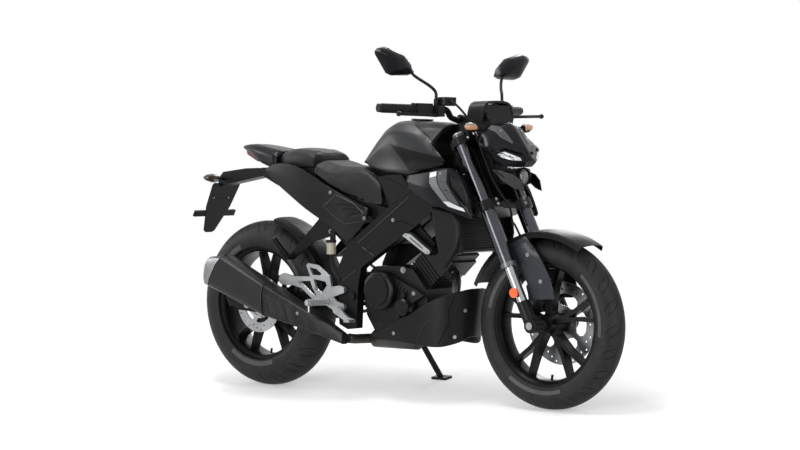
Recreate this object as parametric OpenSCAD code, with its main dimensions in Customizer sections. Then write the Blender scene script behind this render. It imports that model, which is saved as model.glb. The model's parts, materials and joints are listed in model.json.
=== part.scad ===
// Standard motorcycle: a small naked roadster, parked on its side stand.
// Row frame: X forward, Y to the rider's left, Z up, millimetres.
// Each sub-part is drawn upright, with X from mid-wheelbase and Z from the ground, and parked() leans it.
// The origin is the middle of the leaned part's base.

/* [Wheels] */
// Distance between the axles
wheelbase = 1325; // [1300:5:1350]
// Height of the front tyre over the rim
front_h = 80.1; // [74:0.1:84]
// Width of the front tyre
front_w = 104; // [96:1:108]
// Height of the rear tyre over the rim
rear_h = 98.1; // [92:0.1:102]
// Width of the rear tyre
rear_w = 142; // [130:1:146]
// Radius of the bead seats, 17 inch rims
rim_r = 215.9; // [214:0.1:218]
// Radius of both axles
axle_r = 8.5; // [7:0.5:10]
// Radius of the front disc
front_disc_r = 146; // [135:1:150]
// Radius of the rear disc
rear_disc_r = 110; // [100:1:115]

/* [Steering] */
// Steering axis from upright
rake = 26; // [25:0.1:27]
// Steering axis to front axle
fork_offset = 44.4; // [40:0.1:48]
// Axle ahead of the fork legs
axle_lead = 8; // [4:1:12]
// Fork legs from the middle plane
leg_y = 104; // [102:1:108]
// Radius of the outer fork tubes
tube_r = 26; // [24:0.5:27]
// Radius of the inner fork tubes
slider_r = 18.5; // [16:0.5:20]

/* [Parking] */
// Lean onto the side stand
lean = 9; // [7:0.5:11]
// Height of the line that the lean turns about
lean_z = 61.5; // [55:0.5:68]
// Side stand foot ahead of mid-wheelbase
stand_x = -35; // [-45:1:-20]
// Side stand foot from the middle plane
stand_y = 264; // [250:1:275]

/* [Drive] */
// Pitch radius of the front sprocket
drive_r = 28.5; // [26:0.5:30]
// Pitch radius of the rear sprocket
driven_r = 97; // [90:0.5:100]
// Middle plane of the chain
chain_y = 78; // [77:0.5:79]

/* [Part to draw] */

/* [Hidden] */
$fn = 48;
fit = 0.2;
// Places of the axles in the drawing, which stays as it is when tyres or wheelbase change
front_x = 662.5;
front_z = 296;
rear_x = -662.5;
rear_z = 314;
front_r = rim_r + front_h;
rear_r = rim_r + rear_h;
standard_tyres = abs(front_r - front_z) + abs(rear_r - rear_z) < 0.001;
stretch = wheelbase / (front_x - rear_x);
beam_x = rear_x + (rear_r + 48.5) / stretch;
pitch = asin((rear_r - front_r) / norm([wheelbase, rear_z - front_z])) - atan2(rear_z - front_z, wheelbase);
pivot_x = -126;
pivot_z = 367;
drive_x = -60;
drive_z = 362;
stand_pivot = [-80, 158, 228];
stand_fold = [-0.98, 0.08, 0.1];
rear_tip_x = -1000;
middle_z = 1164;
plate_top = [-897, 0, 764];
plate_tilt = 28;
plate_hole_y = 40;
chain_pitch = 15.875;
plate_gap = 8.4;
origin_x = (front_x + front_z + rear_tip_x) / 2;
origin_y = (middle_z - lean_z) * sin(lean);
foot_z = lean_z + stand_y * tan(lean) - lean_z / cos(lean);
foot = untilted([stand_x, stand_y, foot_z]);

// Placing

module parked() {
    $k = stretch;
    leaned() stretched($k) children();
}

// Pieces that turn with the fork keep their place from the front axle
module parked_fork() {
    $k = 1;
    leaned() translate([front_x * (stretch - 1), 0, 0]) children();
}

module leaned() {
    translate([-origin_x, -origin_y, lean_z]) rotate([-lean, 0, 0]) translate([0, 0, -lean_z])
        tilted() children();
}

// Other tyre radii lift each axle to its tyre's radius
module tilted() {
    if (standard_tyres) children();
    else translate([front_x * stretch, 0, front_r]) rotate([0, pitch, 0])
        translate([-front_x * stretch, 0, -front_z]) children();
}

function untilted(p) =
    let (q = p - [front_x * stretch, 0, front_r])
    standard_tyres ? p : [front_x * stretch + q[0] * cos(pitch) - q[2] * sin(pitch), p[1],
        front_z + q[0] * sin(pitch) + q[2] * cos(pitch)];

module stretched(k) {
    if (k == 1) children();
    else scale([k, 1, 1]) children();
}

// Round pieces stay round in a stretched drawing
module unstretched() {
    stretched(1 / $k) children();
}

module both_sides() {
    children();
    mirror([0, 1, 0]) children();
}

// Local Z runs up the steering axis, local X points ahead of it
module steer() {
    translate([front_x, 0, front_z]) unstretched()
        translate([-fork_offset * cos(rake), 0, -fork_offset * sin(rake)]) rotate([0, -rake, 0]) children();
}

module at_front_axle() {
    translate([front_x, 0, front_z]) unstretched() rotate([90, 0, 0]) children();
}

module at_rear_axle() {
    translate([rear_x, 0, rear_z]) unstretched() rotate([90, 0, 0]) children();
}

// A side profile, points [x, z], standing between two distances from the middle plane
module slab(points, y0, y1) {
    translate([0, y1, 0]) rotate([90, 0, 0]) linear_extrude(y1 - y0) polygon(points);
}

// A round bar along Y
module cross_bar(x, z, r, y0, y1) {
    translate([x, y1, z]) unstretched() rotate([90, 0, 0]) cylinder(r = r, h = y1 - y0);
}

module rod(a, b, r) {
    v = b - a;
    translate(a) rotate([0, acos(v[2] / norm(v)), atan2(v[1], v[0])]) cylinder(r = r, h = norm(v));
}

// A turned piece that stands out from a place on the right-hand side; profile points are [r, depth]
module turned(x, y, z, profile) {
    translate([x, y, z]) unstretched() rotate([90, 0, 0]) rotate_extrude() polygon(profile);
}

// Where a point near the steering head goes in a stretched drawing
function at_head(x) = (x + front_x * (stretch - 1)) / stretch;

// Curves and skins

function unit(v) = v / norm(v);

function heading(a) = [cos(a), sin(a)];

function bend(a, b, c, d, t) =
    0.5 * (2 * b + (c - a) * t + (2 * a - 5 * b + 4 * c - d) * t * t + (3 * b - a - 3 * c + d) * t * t * t);

// A curve through the points, with n steps between neighbours
function curve(p, n) = concat(
    [for (i = [0 : len(p) - 2]) for (k = [0 : n - 1])
        bend(i == 0 ? 2 * p[0] - p[1] : p[i - 1], p[i], p[i + 1],
             i == len(p) - 2 ? 2 * p[i + 1] - p[i] : p[i + 2], k / n)],
    [p[len(p) - 1]]);

// Rails run along the surface; a ring takes one point of each
function rings(rails, n) =
    let (lines = [for (r = rails) n > 1 ? curve(r, n) : r])
    [for (i = [0 : len(lines[0]) - 1]) [for (r = lines) r[i]]];

// Half rings from the bottom middle over the left side to the top middle, made whole
function whole(halves) =
    [for (h = halves) concat(h, [for (i = [len(h) - 2 : -1 : 1]) [h[i][0], -h[i][1], h[i][2]]])];

// Rings run anticlockwise as seen from the last one; top is the point where a whole ring's left half ends
module skin(r, top = 0) {
    n = len(r[0]);
    m = len(r);
    polyhedron(
        points = [for (a = r) for (p = a) p],
        faces = concat(
            [for (f = cap(n, top)) f],
            [for (i = [0 : m - 2]) for (j = [0 : n - 1]) for (f = [
                [i * n + j, (i + 1) * n + j, (i + 1) * n + (j + 1) % n],
                [i * n + j, (i + 1) * n + (j + 1) % n, i * n + (j + 1) % n]]) f],
            [for (f = cap(n, top)) [for (k = [2, 1, 0]) (m - 1) * n + f[k]]]));
}

// Triangles that close a ring: from side to side, or each half by itself from its second point
function cap(n, top) =
    let (order = [for (k = [0 : n - 1]) k % 2 == 0 ? k / 2 : n - (k + 1) / 2])
    top == 0
        ? [for (k = [0 : n - 3]) k % 2 == 0
            ? [order[k], order[k + 2], order[k + 1]]
            : [order[k], order[k + 1], order[k + 2]]]
        : concat(
            [for (k = [2 : top - 1]) [1, k, k + 1]], [[1, top, 0]],
            [for (k = [top : n - 3]) [n - 1, k, k + 1]], [[n - 1, 0, top]]);

// A side profile, points [x, z], as a ring at a distance from the middle plane, drawn in by k towards c
function profile_ring(points, c, k, y) =
    [for (i = [len(points) - 1 : -1 : 0])
        [c[0] + k * (points[i][0] - c[0]), y, c[1] + k * (points[i][1] - c[1])]];

// Both halves of a body from the rails of its left half
module body_skin(rails, n) {
    skin(whole(rings(rails, n)), len(rails) - 1);
}

function ring_at(p, d, r, sides, ref) =
    let (a = unit(cross(ref, d)), b = cross(d, a))
    [for (k = [0 : sides - 1]) p + r * (cos(k * 360 / sides) * a + sin(k * 360 / sides) * b)];

// A round tube along a curve
module bent_tube(p, r, n = 4, sides = 12, ref = [0.1, 1, 0.05]) {
    c = curve(p, n);
    last = len(c) - 1;
    skin([for (i = [0 : last]) ring_at(c[i], unit(c[min(i + 1, last)] - c[max(i - 1, 0)]), r, sides, ref)]);
}

// Wheels

// Oval section cut off at the bead seat; roundness is the oval's half height over the section's height
module tyre(outer_r, width, roundness) {
    seat = rim_r + fit;
    c = width / 2;
    a = roundness * (outer_r - seat);
    cut = acos(1 - 1 / roundness);
    rotate_extrude($fn = 96) polygon([for (k = [0 : 24])
        [outer_r - a + a * cos(-cut + k * cut / 12), c * sin(-cut + k * cut / 12)]]);
}

// Five V pairs of spokes between the hub and the rim, thinner towards the rim
module spokes(hub_r, half) {
    intersection() {
        linear_extrude(2 * half + 20, center = true)
            for (k = [0 : 4]) for (s = [-1, 1]) rotate(90 + 72 * k) polygon([
                [hub_r - 6, -13 * s], [hub_r - 6, 6 * s], [rim_r - 98, 22 * s], [rim_r - 18, 49 * s],
                [rim_r - 15, 33 * s], [rim_r - 96, 7 * s]]);
        rotate_extrude($fn = 96)
            polygon([[hub_r - 8, -half], [rim_r - 10, -half * 0.55], [rim_r - 10, half * 0.55],
                [hub_r - 8, half]]);
    }
}

module cast_wheel(width, hub_r, hub_half, spoke_half) {
    w = width / 2;
    difference() {
        union() {
            rotate_extrude($fn = 96) polygon([
                [rim_r, -w], [rim_r, w], [rim_r - 9, w], [rim_r - 13, w - 4], [rim_r - 18, w - 9],
                [rim_r - 23, w * 0.35], [rim_r - 23, -w * 0.35], [rim_r - 18, 9 - w], [rim_r - 13, 4 - w],
                [rim_r - 9, -w]]);
            cylinder(r = hub_r, h = 2 * hub_half, center = true);
            spokes(hub_r, spoke_half);
        }
        cylinder(r = axle_r + 0.1, h = 4 * hub_half, center = true);
    }
}

module front_tyre() color("#1c1c1e") parked_fork() at_front_axle() tyre(front_r, front_w, 0.65);

module rear_tyre() color("#1c1c1e") parked() at_rear_axle() tyre(rear_r, rear_w, 0.725);

module front_wheel() color("#141417") parked_fork() at_front_axle() cast_wheel(84, 36, 52, 26);

module rear_wheel() color("#141417") parked() at_rear_axle() cast_wheel(112, 44, 50, 30);

// A slot along an arc, with round ends
module arc_slot(r0, r1, half_angle) {
    middle = (r0 + r1) / 2;
    end = (r1 - r0) / 2;
    polygon(concat(
        [for (k = [-2 : 2]) r1 * heading(half_angle * k / 2)],
        [for (k = [1 : 3]) middle * heading(half_angle) + end * heading(half_angle + 45 * k)],
        [for (k = [-2 : 2]) r0 * heading(-half_angle * k / 2)],
        [for (k = [1 : 3]) middle * heading(-half_angle) + end * heading(180 - half_angle + 45 * k)]));
}

// Disc with five slots between its hub and its ring, and rows of holes through the ring
module disc(outer_r, inner_r, hub_r, slot_angle, holes) {
    linear_extrude(4.5) difference() {
        circle(r = outer_r, $fn = 96);
        circle(r = hub_r);
        for (k = [0 : 4]) rotate(72 * k) arc_slot(hub_r + (inner_r - hub_r) * 0.34, inner_r - 4, slot_angle);
        for (k = [0 : holes - 1]) rotate(k * 360 / holes)
            translate([(outer_r + inner_r) / 2 + (outer_r - inner_r) * 0.22 * ((k % 3) - 1), 0])
                circle(r = (outer_r - inner_r) * 0.1, $fn = 16);
    }
}

module front_disc() color("#8d9094") parked_fork() at_front_axle() {
    translate([0, 0, -64.5]) disc(front_disc_r, front_disc_r * 0.74, 38, 15, 36);
    translate([0, 0, -60]) ring_spacer(20, 47, 8 - fit);
}

module rear_disc() color("#b4b6b8") parked() at_rear_axle() {
    translate([0, 0, 62]) disc(rear_disc_r, rear_disc_r * 0.71, 46, 21, 30);
    translate([0, 0, 50 + fit]) ring_spacer(30, 55, 12 - fit);
}

// A short tube that carries a disc at the hub's end
module ring_spacer(inner_r, outer_r, height) {
    linear_extrude(height) difference() {
        circle(r = outer_r);
        circle(r = inner_r);
    }
}

// Toothed outline: roots where the chain's rollers lie, on the pitch radius r
module toothed(r) {
    teeth = round(2 * PI * r / chain_pitch);
    tooth = [[-0.5, -4.6], [-0.27, -2.6], [-0.1, 4.2], [0.1, 4.2], [0.27, -2.6]];
    polygon([for (k = [0 : teeth - 1]) for (q = tooth)
        (r + q[1]) * heading((k + q[0]) * 360 / teeth)]);
}

module sprocket() color("#8a8780") parked() at_rear_axle() {
    translate([0, 0, -chain_y - 3.5]) linear_extrude(7) difference() {
        toothed(driven_r);
        circle(r = 40);
        for (k = [0 : 5]) rotate(60 * k) arc_slot(driven_r * 0.58, driven_r * 0.84, 12);
    }
    translate([0, 0, 3.5 - chain_y]) ring_spacer(40, 52, chain_y - 53.5 - fit);
}

// Front end, drawn along the steering axis

module leg_bores(r) {
    for (s = [-1, 1]) translate([fork_offset - axle_lead, s * leg_y, 400]) cylinder(r = r, h = 400);
}

module clamp_plate(z, h, r, depth) {
    translate([0, 0, z]) linear_extrude(h) {
        polygon([[-depth, -24], [-8, -leg_y - 6], [fork_offset - axle_lead + r, -leg_y],
            [fork_offset - axle_lead + r, -60], [56, -40], [56, 40], [fork_offset - axle_lead + r, 60],
            [fork_offset - axle_lead + r, leg_y], [-8, leg_y + 6], [-depth, 24]]);
        for (s = [-1, 1]) translate([fork_offset - axle_lead, s * leg_y]) circle(r = r);
        circle(r = depth);
    }
}

module fork_clamps() color("#1d1d20") parked_fork() steer() {
    difference() {
        union() {
            clamp_plate(436, 34, 35, 36);
            clamp_plate(690, 26, 34, 32);
            translate([0, 0, 452]) cylinder(r = 16, h = 278);
            for (s = [-1, 1]) {
                translate([44, s * 42 - 5, 460]) cube([30.4, 10, 240]);
                translate([30, s * 42 - 13, 700]) translate([-13, 0, 0]) cube([26, 26, 90]);
                translate([30, s * 42 - 13, 792.5]) rotate([-90, 0, 0]) cylinder(r = 19, h = 26);
            }
        }
        leg_bores(tube_r + 0.1);
        translate([30, -100, 792.5]) rotate([-90, 0, 0]) cylinder(r = 11.3, h = 200);
    }
}

module fork_tubes() color("#19191b") parked_fork() steer()
    for (s = [-1, 1]) translate([fork_offset - axle_lead, s * leg_y, 0]) difference() {
        union() {
            translate([0, 0, 232]) cylinder(r = tube_r, h = 496);
            translate([0, 0, 222]) cylinder(r = tube_r + 2.5, h = 16);
            translate([0, 0, 727]) cylinder(r = 21, h = 7);
        }
        translate([0, 0, 200]) cylinder(r = slider_r + 0.15, h = 110);
    }

module fork_sliders() color("#8f9296") parked_fork() {
    steer() for (s = [-1, 1]) translate([fork_offset - axle_lead, s * leg_y, 0]) {
        difference() {
            union() {
                translate([0, 0, 60]) cylinder(r = slider_r, h = 248);
                translate([0, 0, -12]) cylinder(r = 23, h = 104);
                translate([axle_lead, 0, 0]) rotate([90, 0, 0]) cylinder(r = 25, h = 46, center = true);
                translate([0, 0, 128]) rotate([s * -90, 0, 0]) cylinder(r = 9, h = 26);
            }
            translate([axle_lead, 0, 0]) rotate([90, 0, 0]) cylinder(r = axle_r + 0.1, h = 60, center = true);
        }
    }
}

module fork_reflectors() color("#d9701c") parked_fork() steer()
    for (s = [-1, 1]) translate([fork_offset - axle_lead, s * (leg_y + 26.2), 128])
        rotate([s * -90, 0, 0]) cylinder(r = 17, h = 7);

module front_axle() color("#a9abad") parked_fork() {
    cross_bar(front_x, front_z, axle_r, -130, 130);
    cross_bar(front_x, front_z, 14, 127.2, 136);
    cross_bar(front_x, front_z, 13, -133, -127.2);
    for (s = [-1, 1]) difference() {
        cross_bar(front_x, front_z, 16, s > 0 ? 52.2 : -80.8, s > 0 ? 80.8 : -52.2);
        cross_bar(front_x, front_z, axle_r + 0.1, -90, 90);
    }
}

// Handlebar and controls

bar_mid = [302, 0, 1002];
grip_in = [270, 262, 1037];
grip_out = [222, 398, 1040];
grip_dir = unit(grip_out - grip_in);
grip_len = norm(grip_out - grip_in);
bar_r = 11.1;

// Local X points ahead of the left grip, Y runs out along it and Z points up
module at_grip() {
    translate(grip_in) rotate([0, acos(grip_dir[2]), atan2(grip_dir[1], grip_dir[0])])
        rotate([90, 0, -90]) children();
}

// A round bar along the grip
module grip_bar(r, y0, y1) {
    translate([0, y0, 0]) rotate([-90, 0, 0]) cylinder(r = r, h = y1 - y0);
}

module handlebar() color("#151517") parked_fork() {
    left = [bar_mid + [0, 30, 0], bar_mid + [0, 60, 0], bar_mid + [0, 76, 0], bar_mid + [0, 108, 10],
        grip_in - 126 * grip_dir, grip_in - 96 * grip_dir, grip_in, grip_out];
    right = [for (i = [len(left) - 1 : -1 : 0]) [left[i][0], -left[i][1], left[i][2]]];
    bent_tube(concat(right, left), bar_r, 3, 12, [1, 0, 0.2]);
}

module grips() color("#232325") parked_fork() both_sides() at_grip() difference() {
    union() {
        grip_bar(16.5, 12, grip_len - 8);
        grip_bar(22, 8, 13);
        grip_bar(15, grip_len - 9, grip_len + 7);
    }
    grip_bar(bar_r + fit, -1, grip_len + 1);
}

module switchgear() color("#1b1b1d") parked_fork() {
    both_sides() at_grip() difference() {
        union() {
            translate([-20, -58, -21]) cube([40, 62, 42]);
            translate([-16, -92, -24]) cube([60, 26, 39]);
            translate([6, -79, 14]) cylinder(r = 9, h = 24);
        }
        grip_bar(bar_r + 0.3, -130, 40);
    }
    mirror([0, 1, 0]) at_grip() translate([0, -136, 14.5]) cube([46, 48, 30]);
}

// Seen from above: a blade that sweeps out ahead of the grip to a ball end
module levers() color("#2a2a2c") parked_fork() both_sides() at_grip() {
    translate([0, 0, -26]) linear_extrude(11) polygon([
        [24, -65.7], [44, -65.7], [58, -48], [76, 0], [82, 60], [96, 118], [88, 126], [70, 66], [62, 4],
        [44, -36], [24, -52]]);
    translate([93, 123, -20.5]) sphere(r = 9);
}

function mirror_outline(k, x) =
    let (c = [338, 1198], o = [[238, 1163], [262, 1154], [345, 1152], [372, 1160], [428, 1222], [430, 1234],
        [418, 1243], [388, 1249], [300, 1228], [248, 1188]])
    [for (p = o) [x, c[0] + k * (p[0] - c[0]), c[1] + k * (p[1] - c[1])]];

module mirrors() color("#161618") parked_fork() both_sides() {
    bent_tube([[302, 189, 1073.7], [300, 190, 1098], [284, 206, 1120], [256, 246, 1150], [252, 268, 1168]],
        5.5, 3, 10, [1, 0.1, 0]);
    difference() {
        skin([mirror_outline(1, 226), mirror_outline(1.0, 234), mirror_outline(0.92, 250),
            mirror_outline(0.66, 262), mirror_outline(0.3, 267)]);
        rod([272, 222, 1132], [252, 272, 1176], 5);
    }
}

module mirror_glass() color("#aeb6bc") parked_fork() both_sides()
    skin([mirror_outline(0.93, 223.6), mirror_outline(0.93, 225.8)]);

// Headlamp and cowl

module nose_cowl() color("#17191f") parked_fork() {
    rails = [
        [[445, 0, 905], [490, 0, 850], [535, 0, 837], [562, 0, 838]],
        [[445, 84, 900], [490, 92, 848], [532, 60, 838], [562, 20, 839]],
        [[445, 134, 912], [494, 144, 906], [540, 88, 876], [572, 28, 852]],
        [[445, 122, 950], [484, 104, 938], [532, 62, 900], [574, 20, 858]],
        [[445, 70, 978], [482, 52, 972], [528, 36, 918], [576, 12, 862]],
        [[445, 0, 986], [482, 0, 988], [530, 0, 930], [577, 0, 864]]];
    difference() {
        body_skin(rails, 2);
        both_sides() rod([498, 128, 889], [548, 72, 861], 7);
    }
}

module headlamp() color("#2b2c30") parked_fork() {
    slab([[461.6, 777], [400.4, 902.5], [400.4, 945], [444.7, 945], [444.7, 849], [470, 846], [484, 842],
        [530, 830], [540, 802], [530, 777]], -50, 50);
    translate([534, 0, 803]) rotate([0, 84, 0]) rotate_extrude()
        polygon([[0, 0], [32, 0], [32, 13], [29, 15], [27, 9], [25, 9], [20, 13], [11, 16], [0, 17]]);
    both_sides() skin([
        [[474, 50.3, 806], [474, 50.3, 794], [484, 88, 818], [484, 90, 826]],
        [[520, 50.3, 800], [524, 50.3, 784], [545, 62, 778], [536, 64, 790]],
        [[534, 50.3, 790], [536, 50.3, 780], [572, 46, 756], [570, 50, 760]]]);
}

module meter() color("#1a1a1c") parked_fork() {
    slab([[345, 1000], [372, 1040], [428, 1052], [444.6, 1000], [444.6, 950], [420, 946]], -66, 66);
    translate([362, 0, 0]) rotate([90, 0, 90]) linear_extrude(66) polygon([
        [92, 1000], [90, 1024], [83, 1046], [71, 1059], [52, 1066], [0, 1069], [-52, 1066], [-71, 1059],
        [-83, 1046], [-90, 1024], [-92, 1000], [-84, 1000], [-82, 1022], [-76, 1041], [-66, 1052],
        [-50, 1058], [0, 1061], [50, 1058], [66, 1052], [76, 1041], [82, 1022], [84, 1000]]);
    translate([366, -88, 994]) cube([58, 176, 8]);
    both_sides() translate([424, 60, 956]) cube([20.4, 52, 22]);
}

module front_flashers() color("#c9cdd0") parked_fork() both_sides() {
    translate([434, 112.2, 968]) rotate([-90, 0, 0]) cylinder(r = 7, h = 26);
    translate([434, 136, 971]) rotate([-82, 0, 0])
        rotate_extrude() polygon([[0, 0], [11, 0], [16, 12], [17, 28], [12, 46], [5, 56], [0, 58]]);
}

// Front fender: a channel over the tyre with side plates in front of and behind the fork legs

// A point of a side profile at a radius and angle about the front axle, and the rear one
function round_front(r, a) = [front_x + r * cos(a) / $k, front_z + r * sin(a)];
function round_rear(r, a) = [rear_x + r * cos(a) / $k, rear_z + r * sin(a)];

module front_fender() color("#151517") parked_fork() {
    r = front_r;
    at_front_axle() rotate(58) rotate_extrude(angle = 98, $fn = 96) polygon([
        [r + 4, -68], [r + 22, -60], [r + 27, -30], [r + 29, 0], [r + 27, 30], [r + 22, 60], [r + 4, 68],
        [r + 4, 71], [r + 24, 63], [r + 30, 31], [r + 32, 0], [r + 30, -31], [r + 24, -63], [r + 4, -71]]);
    both_sides() {
        slab([round_front(r + 4.8, 116.1), round_front(r - 53.3, 115), [590, 470], [612, 440], [618, 376],
            [622, 358], [640, 356], [650, 384], [726, 388], [700, 470], round_front(r - 31, 94.9),
            round_front(r + 14.4, 101.6)], 70, 74);
        cross_bar(629, 368, 8, 73, leg_y - 23.2);
    }
}

module front_caliper() color("#2c2d30") parked_fork() difference() {
    union() {
        slab([[520, 420], [548, 330], [586, 330], [598, 362], [578, 428], [548, 440]], 42, leg_y - 23.2);
        slab([[560, 402], [596, 372], [612, 350], [638, 346], [628, 318], [586, 330], [560, 362]], 74.2,
            leg_y - 23.2);
    }
    at_front_axle() translate([0, 0, -69.5]) cylinder(r = front_disc_r + 6, h = 14.5, $fn = 96);
}

// The hose runs from the right-hand lever's cylinder, behind the cowl, to the caliper
hose_route = [[351.4, -171.8, 1062], [365.6, -176.8, 1062], [386, -163, 1040], [402, -134, 1002],
    [410, -112, 960], [422, -97, 915], [446, -84, 840], [462, -72, 790], [486, -50, 735], [506, -30, 690],
    [494, -5, 650], [470, 45, 632], [456, 92, 596], [478, 104, 552], [504, 98, 510], [530, 76, 484],
    [540, 62, 462], [540, 60, 437.6]];

module brake_hose() color("#141416") parked_fork() bent_tube(hose_route, 4, 3, 8, [0.4, 0.1, 1]);

// Frame and fixed pieces

spar = [[270, 700], [262, 724], [157, 752], [52, 698], [-150, 556], [-192, 476], [-200, 380], [-190, 262],
    [-150, 245], [-108, 250], [-100, 400], [-86, 470], [43, 551], [163, 622]];

module frame() color("#161618") parked() {
    difference() {
        union() {
            both_sides() {
                slab(spar, 105, 140);
                slab([[70, 600], [90, 660], [168, 626], [238, 566], [222, 536], [186, 536]], 105, 116);
                // Tab that carries the radiator
                slab([[215, 668], [258, 702], [288, 656], [262, 624]], 105, 116);
                // Gusset from the steering head to the spar
                translate([at_head(392), 14, 0]) rotate([90, 0, atan2(104, -200)])
                    linear_extrude(16, center = true) polygon([
                        [0, 712], [0, 770], [50, 826], [120, 790], [230, 742], [240, 690], [150, 660]]);
                // Seat rail and its strut
                slab([[40, 680], [-10, 694], [-250, 752], [-430, 800], [-430, 766], [-250, 722], [-20, 640]],
                    96, 112);
                slab([[-120, 566], [-430, 776], [-430, 748], [-150, 520]], 96, 112);
            }
            steer() translate([0, 0, 475]) cylinder(r = 29, h = 210);
            steer() translate([-60, -20, 520]) cube([60, 40, 120]);
            translate([120, -106, 735]) cube([40, 212, 24.2]);
            cross_bar(-150, 612, 17, -100, 100);
            for (s = [-1, 1]) translate([-165, s > 0 ? 84 : -106, 540]) cube([30, 22, 60]);
            stand_lug();
        }
        steer() translate([0, 0, 400]) cylinder(r = 16.2, h = 400);
        cross_bar(pivot_x, pivot_z, 9.2, -200, 200);
    }
}

// Side stand

stand_leg = foot - stand_pivot;
stand_axis = unit(cross(unit(stand_leg), unit(stand_fold)));

// Local Z runs along the stand's hinge, towards the left
module at_stand() {
    a = stand_axis[1] > 0 ? stand_axis : -stand_axis;
    translate(stand_pivot) rotate([0, acos(a[2]), atan2(a[1], a[0])]) children();
}

module stand_lug() {
    at_stand() {
        translate([0, 0, -22]) cylinder(r = 15, h = 12);
        translate([0, 0, -22]) cylinder(r = 6, h = 40);
        translate([0, 0, 8]) cylinder(r = 10, h = 7);
    }
    translate([-124, 126, 250]) cube([44, 12, 26]);
    slab([[-124, 250], [-92, 222], [-70, 222], [-66, 250], [-80, 276], [-124, 276]], 126, 138);
}

module side_stand() color("#202022") parked() {
    difference() {
        union() {
            at_stand() translate([0, 0, -5]) cylinder(r = 15, h = 12.5);
            rod(stand_pivot + 0.02 * stand_leg, stand_pivot + 0.97 * stand_leg, 11);
        }
        at_stand() translate([0, 0, -30]) cylinder(r = 6.2, h = 60);
        at_stand() translate([0, 0, 7.5]) cylinder(r = 18, h = 30);
        at_stand() translate([0, 0, -35]) cylinder(r = 18, h = 30);
    }
    translate(foot) rotate([lean, 0, 0]) translate([-34, -20, 0]) cube([68, 40, 9]);
}

// Engine

// Local Z runs up the cylinder
module along_cylinder() {
    translate([95, 0, 410]) unstretched() rotate([0, 47, 0]) children();
}

module engine() color("#27282b") parked() {
    slab([[-98, 300], [-96, 440], [-60, 476], [60, 480], [120, 470], [180, 400], [190, 330], [160, 262],
        [60, 244], [-60, 244]], -94, 66);
    slab([[-14, 300], [-14, 470], [60, 480], [120, 470], [180, 400], [190, 330], [160, 262], [60, 244],
        [-14, 250]], 60, 94);
    along_cylinder() {
        translate([-56, -62, -20]) cube([112, 124, 145]);
        for (k = [0 : 5]) translate([-60, -66, 40 + 13 * k]) cube([120, 132, 6]);
        translate([-64, -68, 120]) cube([128, 136, 76]);
        translate([-58, -62, 190]) cube([116, 124, 36]);
    }
    cross_bar(204, 558, 12, -104.8, 104.8);
    cross_bar(-92, 440, 14, -104.8, 104.8);
    cross_bar(110, 262, 11, -118.8, 118.8);
}

module clutch_cover() color("#1e1f22") parked() {
    slab([[-88, 330], [-86, 404], [-64, 440], [-40, 462], [56, 440], [120, 400], [146, 330], [130, 290],
        [54, 278], [-40, 284]], -114, -94.2);
    turned(-6, -113, 392, [[0, 0], [70, 0], [69, 22], [65, 29], [58, 32], [55, 32], [54, 37], [50, 40],
        [0, 40]]);
    // Water pump on its three ears
    turned(98, -113, 336, [[0, 0], [33, 0], [31, 20], [26, 26], [14, 27], [12, 31], [0, 32]]);
    for (e = [[76, 306], [134, 330], [100, 378]])
        turned(e[0], -113, e[1], [[0, 0], [11, 0], [10, 14], [0, 14]]);
    // Ribs beside the clutch
    for (k = [0 : 3]) let (a = [62 + 12 * k, 402 - 7 * k], b = [74 + 12 * k, 424 - 10 * k])
        slab([a, a + [5, 0], b + [5, 0], b], -120, -113);
}

module generator_cover() color("#1e1f22") parked() mirror([0, 1, 0]) {
    slab([[-30, 300], [-20, 430], [60, 444], [128, 404], [150, 330], [130, 290], [54, 278]], -116, -94.2);
    turned(50, -115, 360, [[0, 0], [68, 0], [66, 12], [60, 18], [40, 20], [38, 17], [16, 17], [15, 21],
        [0, 21]]);
    slab([[-92, 320], [-94, 400], [-40, 424], [0, 424], [0, 310], [-32, 306]], -104, -94.2);
}

module airbox() color("#18181a") parked()
    slab([[-60, 575], [-84, 690], [-60, 734], [150, 734], [214, 668], [150, 610], [60, 560]], -88, 88);

module radiator() color("#2a2b2e") parked() {
    translate([366, 0, 540]) rotate([0, -13, 0]) {
        difference() {
            translate([-26, -122, 0]) cube([26, 244, 138]);
            translate([-8, -114, 9]) cube([10, 228, 120]);
        }
        for (k = [0 : 13]) translate([-9, -115, 12 + 8.5 * k]) cube([6, 230, 2.6]);
        both_sides() translate([-30, 122, -4]) cube([34, 26, 146]);
        both_sides() translate([-88, 96, 104]) cube([70, 8.6, 34]);
    }
}

module radiator_shrouds() color("#161618") parked() both_sides() {
    c = [330, 590];
    edge = [[254, 698], [262, 640], [300, 484], [316, 480], [372, 552], [384, 600], [378, 650], [354, 680]];
    skin([profile_ring(edge, c, 1, 148.3), profile_ring(edge, c, 1, 154), profile_ring(edge, c, 0.94, 161),
        profile_ring(edge, c, 0.7, 165)]);
}

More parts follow.
